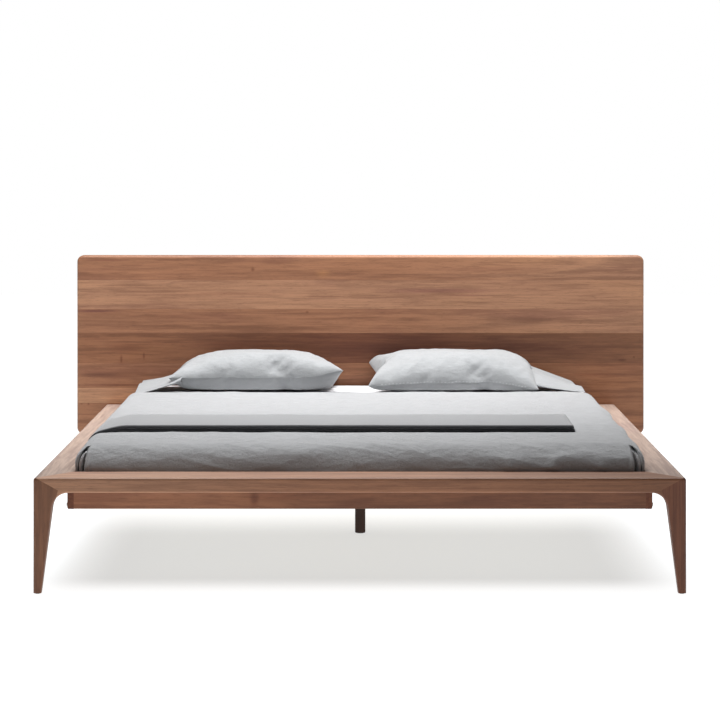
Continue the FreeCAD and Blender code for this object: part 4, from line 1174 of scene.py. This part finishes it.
class BED_OT_pillows(bpy.types.Operator):
    """Makes the two pillows, each an insert in a pillowcase with a loose open end"""
    bl_idname = "bed.pillows"
    bl_label = "Pillows"

    def execute(self, context):
        bedding = settings()[1]
        case_cloth = woven("stonewashed_linen", bedding.pillow_colour, 0.0009, 0.3, 0.8,
                           crumple=0.007)
        filling_cloth = woven("pillow_ticking", linear(232, 230, 224), 0.0012, 0.1, 0.2)
        thread = woven("seam_thread", linear(226, 228, 230), 0.0006, 0.1, 0.1)
        for side, shape in PILLOWS.items():
            self.make_pillow(side, shape, case_cloth, filling_cloth, thread)
        return {"FINISHED"}

    def make_pillow(self, side, shape, case_cloth, filling_cloth, thread):
        rows, columns = 41, 65
        flat = two_panels(PILLOW_FLAT[0], PILLOW_FLAT[1], rows, columns)
        full = blown_up(f"pillow_form_{side}", *flat)
        points = self.set_down(full, side, shape)
        body = f"pillow_{side}"

        case = new_piece(f"case_{side}", points, flat[1], case_cloth)
        thicken(case, 0.0012)
        smooth_over(case)
        filling = new_piece(f"filling_{side}", points, flat[1], filling_cloth)
        push_in(filling, 0.0045)
        end = self.open_end(side, shape, case_cloth)
        seam = self.seam(side, points, columns, case_cloth, thread)
        for piece in (case, filling, end, *seam):
            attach(piece, body)
        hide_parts(f"pillowcase_{side}")
        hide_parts(f"pillow_insert_{side}")

    def set_down(self, points, side, shape):
        """Brings the blown-up form to the pillow's size and lays it on the bed."""
        low, high = points.min(0), points.max(0)
        points = (points - (low + high) / 2) / (high - low) * 2
        box_low, box_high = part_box(f"pillow_insert_{side}")
        middle = (box_low + box_high) / 2
        half = (box_high - box_low) / 2
        x, y, z = points.T
        depth = half.y + 0.006
        rim = np.interp(y, (-1, 1), shape["rim"])
        shift = np.zeros_like(x)
        for place_x, place_y, reach, lift, pull in shape["corners"]:
            away = np.hypot((x - place_x) * half.x, (y - place_y) * depth)
            rim = rim + lift * np.exp(-(away / reach) ** 2)
            shift = shift + pull * np.exp(-(away / reach) ** 2)
        tall = box_high.z - box_low.z
        at, wanted = np.array(shape["outline"]).T
        slices = np.linspace(-1, 1, 41)
        crest = np.array([z[np.abs(x - place) < 0.06].max() for place in slices])
        wanted = np.interp(slices, (at - middle.x) / half.x, wanted) - shape["rim_mean"]
        upper = np.clip(wanted / np.maximum(crest, 0.05), 0, tall)
        rise = np.where(z > 0, z * np.interp(x, slices, upper), z * shape["rim_mean"] * 1.9)
        puff = np.clip(1 - np.abs(x) ** 6, 0, 1) * np.clip(1 - np.abs(y) ** 6, 0, 1)
        wrinkle = 0.003 * lattice_noise(x * half.x * 6, y * depth * 6, 105)
        for heading, length, width, size, seed in shape["creases"]:
            wrinkle += size * creases(x * half.x, y * depth, heading, length, width, seed)
        height = rim + rise + wrinkle * puff * (z > -0.2)
        height = np.where(height > 0.012, height, 0.012 * np.exp((height - 0.012) / 0.02))
        height -= np.maximum(height + PILLOW_BASE - tall + 0.006, 0) * 0.6
        return np.stack([middle.x + (x + shift) * half.x, middle.y + y * depth,
                         box_low.z + PILLOW_BASE + height], -1)

    def open_end(self, side, shape, cloth):
        """The case's loose end beyond the insert, a flattened tube that lies on the bed."""
        rows, columns = 22, 48
        root_front, root_back, hem_back, hem_front = (Vector(corner) for corner in shape["end"])
        points = []
        for row in range(rows):
            part = row / (rows - 1)
            front = root_front.lerp(hem_front, part)
            back = root_back.lerp(hem_back, part)
            front.z = hem_front.z + (root_front.z - hem_front.z) * (1 - part) ** shape["droop"]
            opening = 0.016 * (1 - part) ** 2 + 0.0045
            for column in range(columns):
                turn = math.tau * column / columns
                across = 0.5 - 0.5 * math.cos(turn)
                at = front.lerp(back, across)
                wave = 0.004 * math.sin(9 * across + 2 * part + (1 if side == "left" else 4))
                wave += 0.005 * part * math.sin(4.2 * across + 1)
                height = at.z + wave * min(1, 4 * across) + opening * math.sin(turn)
                bed = BED_TOP - float(settled(at.x, at.y)) + 0.0022
                points.append((at.x, at.y, max(height, bed)))
        faces = ring_faces(rows, columns, capped=False, flip=side == "right")
        piece = new_piece(f"case_end_{side}", points, faces, cloth)
        thicken(piece, 0.0014)
        smooth_over(piece)
        return piece

    def seam(self, side, points, columns, cloth, thread):
        """A fine rolled seam along the front edge, and on the right a row of stitches above it."""
        front = points[3:columns - 3]
        pieces = [tube(f"case_seam_{side}", front + (0, -0.0006, 0), 0.0011, 8, cloth)]
        if side == "right":
            pieces.append(self.stitches(points, columns, thread))
        return pieces

    def stitches(self, points, columns, thread):
        """Short stitches in a line just above the front seam, as one piece."""
        seam_row = points[:columns]
        next_row = points[columns:2 * columns]
        line = seam_row + (next_row - seam_row) * 0.35
        line[:, 1] -= 0.0012
        line[:, 2] += 0.0008
        pieces = []
        for number in range(STITCHES):
            start = 5 + (columns - 11) * number / STITCHES
            places = [start, start + 0.28, start + 0.56]
            path = [[np.interp(place, range(columns), line[:, axis]) for axis in range(3)]
                    for place in places]
            pieces.append(tube(f"stitch_{number}", path, 0.0009, 6, thread))
        return join_pieces("case_stitches_right", pieces)


class BED_PT_panel(bpy.types.Panel):
    """Lists the bed's pieces and settings in the sidebar"""
    bl_idname = "BED_PT_panel"
    bl_label = "Platform bed"
    bl_space_type = "VIEW_3D"
    bl_region_type = "UI"
    bl_category = "Bed"

    def draw(self, context):
        layout = self.layout
        for operator in OPERATORS:
            layout.operator(operator.bl_idname)
        for group in settings():
            for name in group.bl_rna.properties.keys():
                if name not in ("rna_type", "name"):
                    layout.prop(group, name)


OPERATORS = (BED_OT_studio, BED_OT_walnut, BED_OT_base, BED_OT_hardware, BED_OT_mattress,
             BED_OT_fitted_sheet, BED_OT_coverlet, BED_OT_throw, BED_OT_pillows)
GROUPS = {"bed_wood": BED_PG_wood, "bed_bedding": BED_PG_bedding, "bed_studio": BED_PG_studio}


def register():
    for made in (*GROUPS.values(), *OPERATORS, BED_PT_panel):
        bpy.utils.register_class(made)
    for name, group in GROUPS.items():
        setattr(bpy.types.Scene, name, PointerProperty(type=group))


def unregister():
    for name in GROUPS:
        delattr(bpy.types.Scene, name)
    for made in reversed((*GROUPS.values(), *OPERATORS, BED_PT_panel)):
        bpy.utils.unregister_class(made)


def main():
    register()
    for operator in OPERATORS:
        family, name = operator.bl_idname.split(".")
        getattr(getattr(bpy.ops, family), name)()


if __name__ == "__main__":
    main()
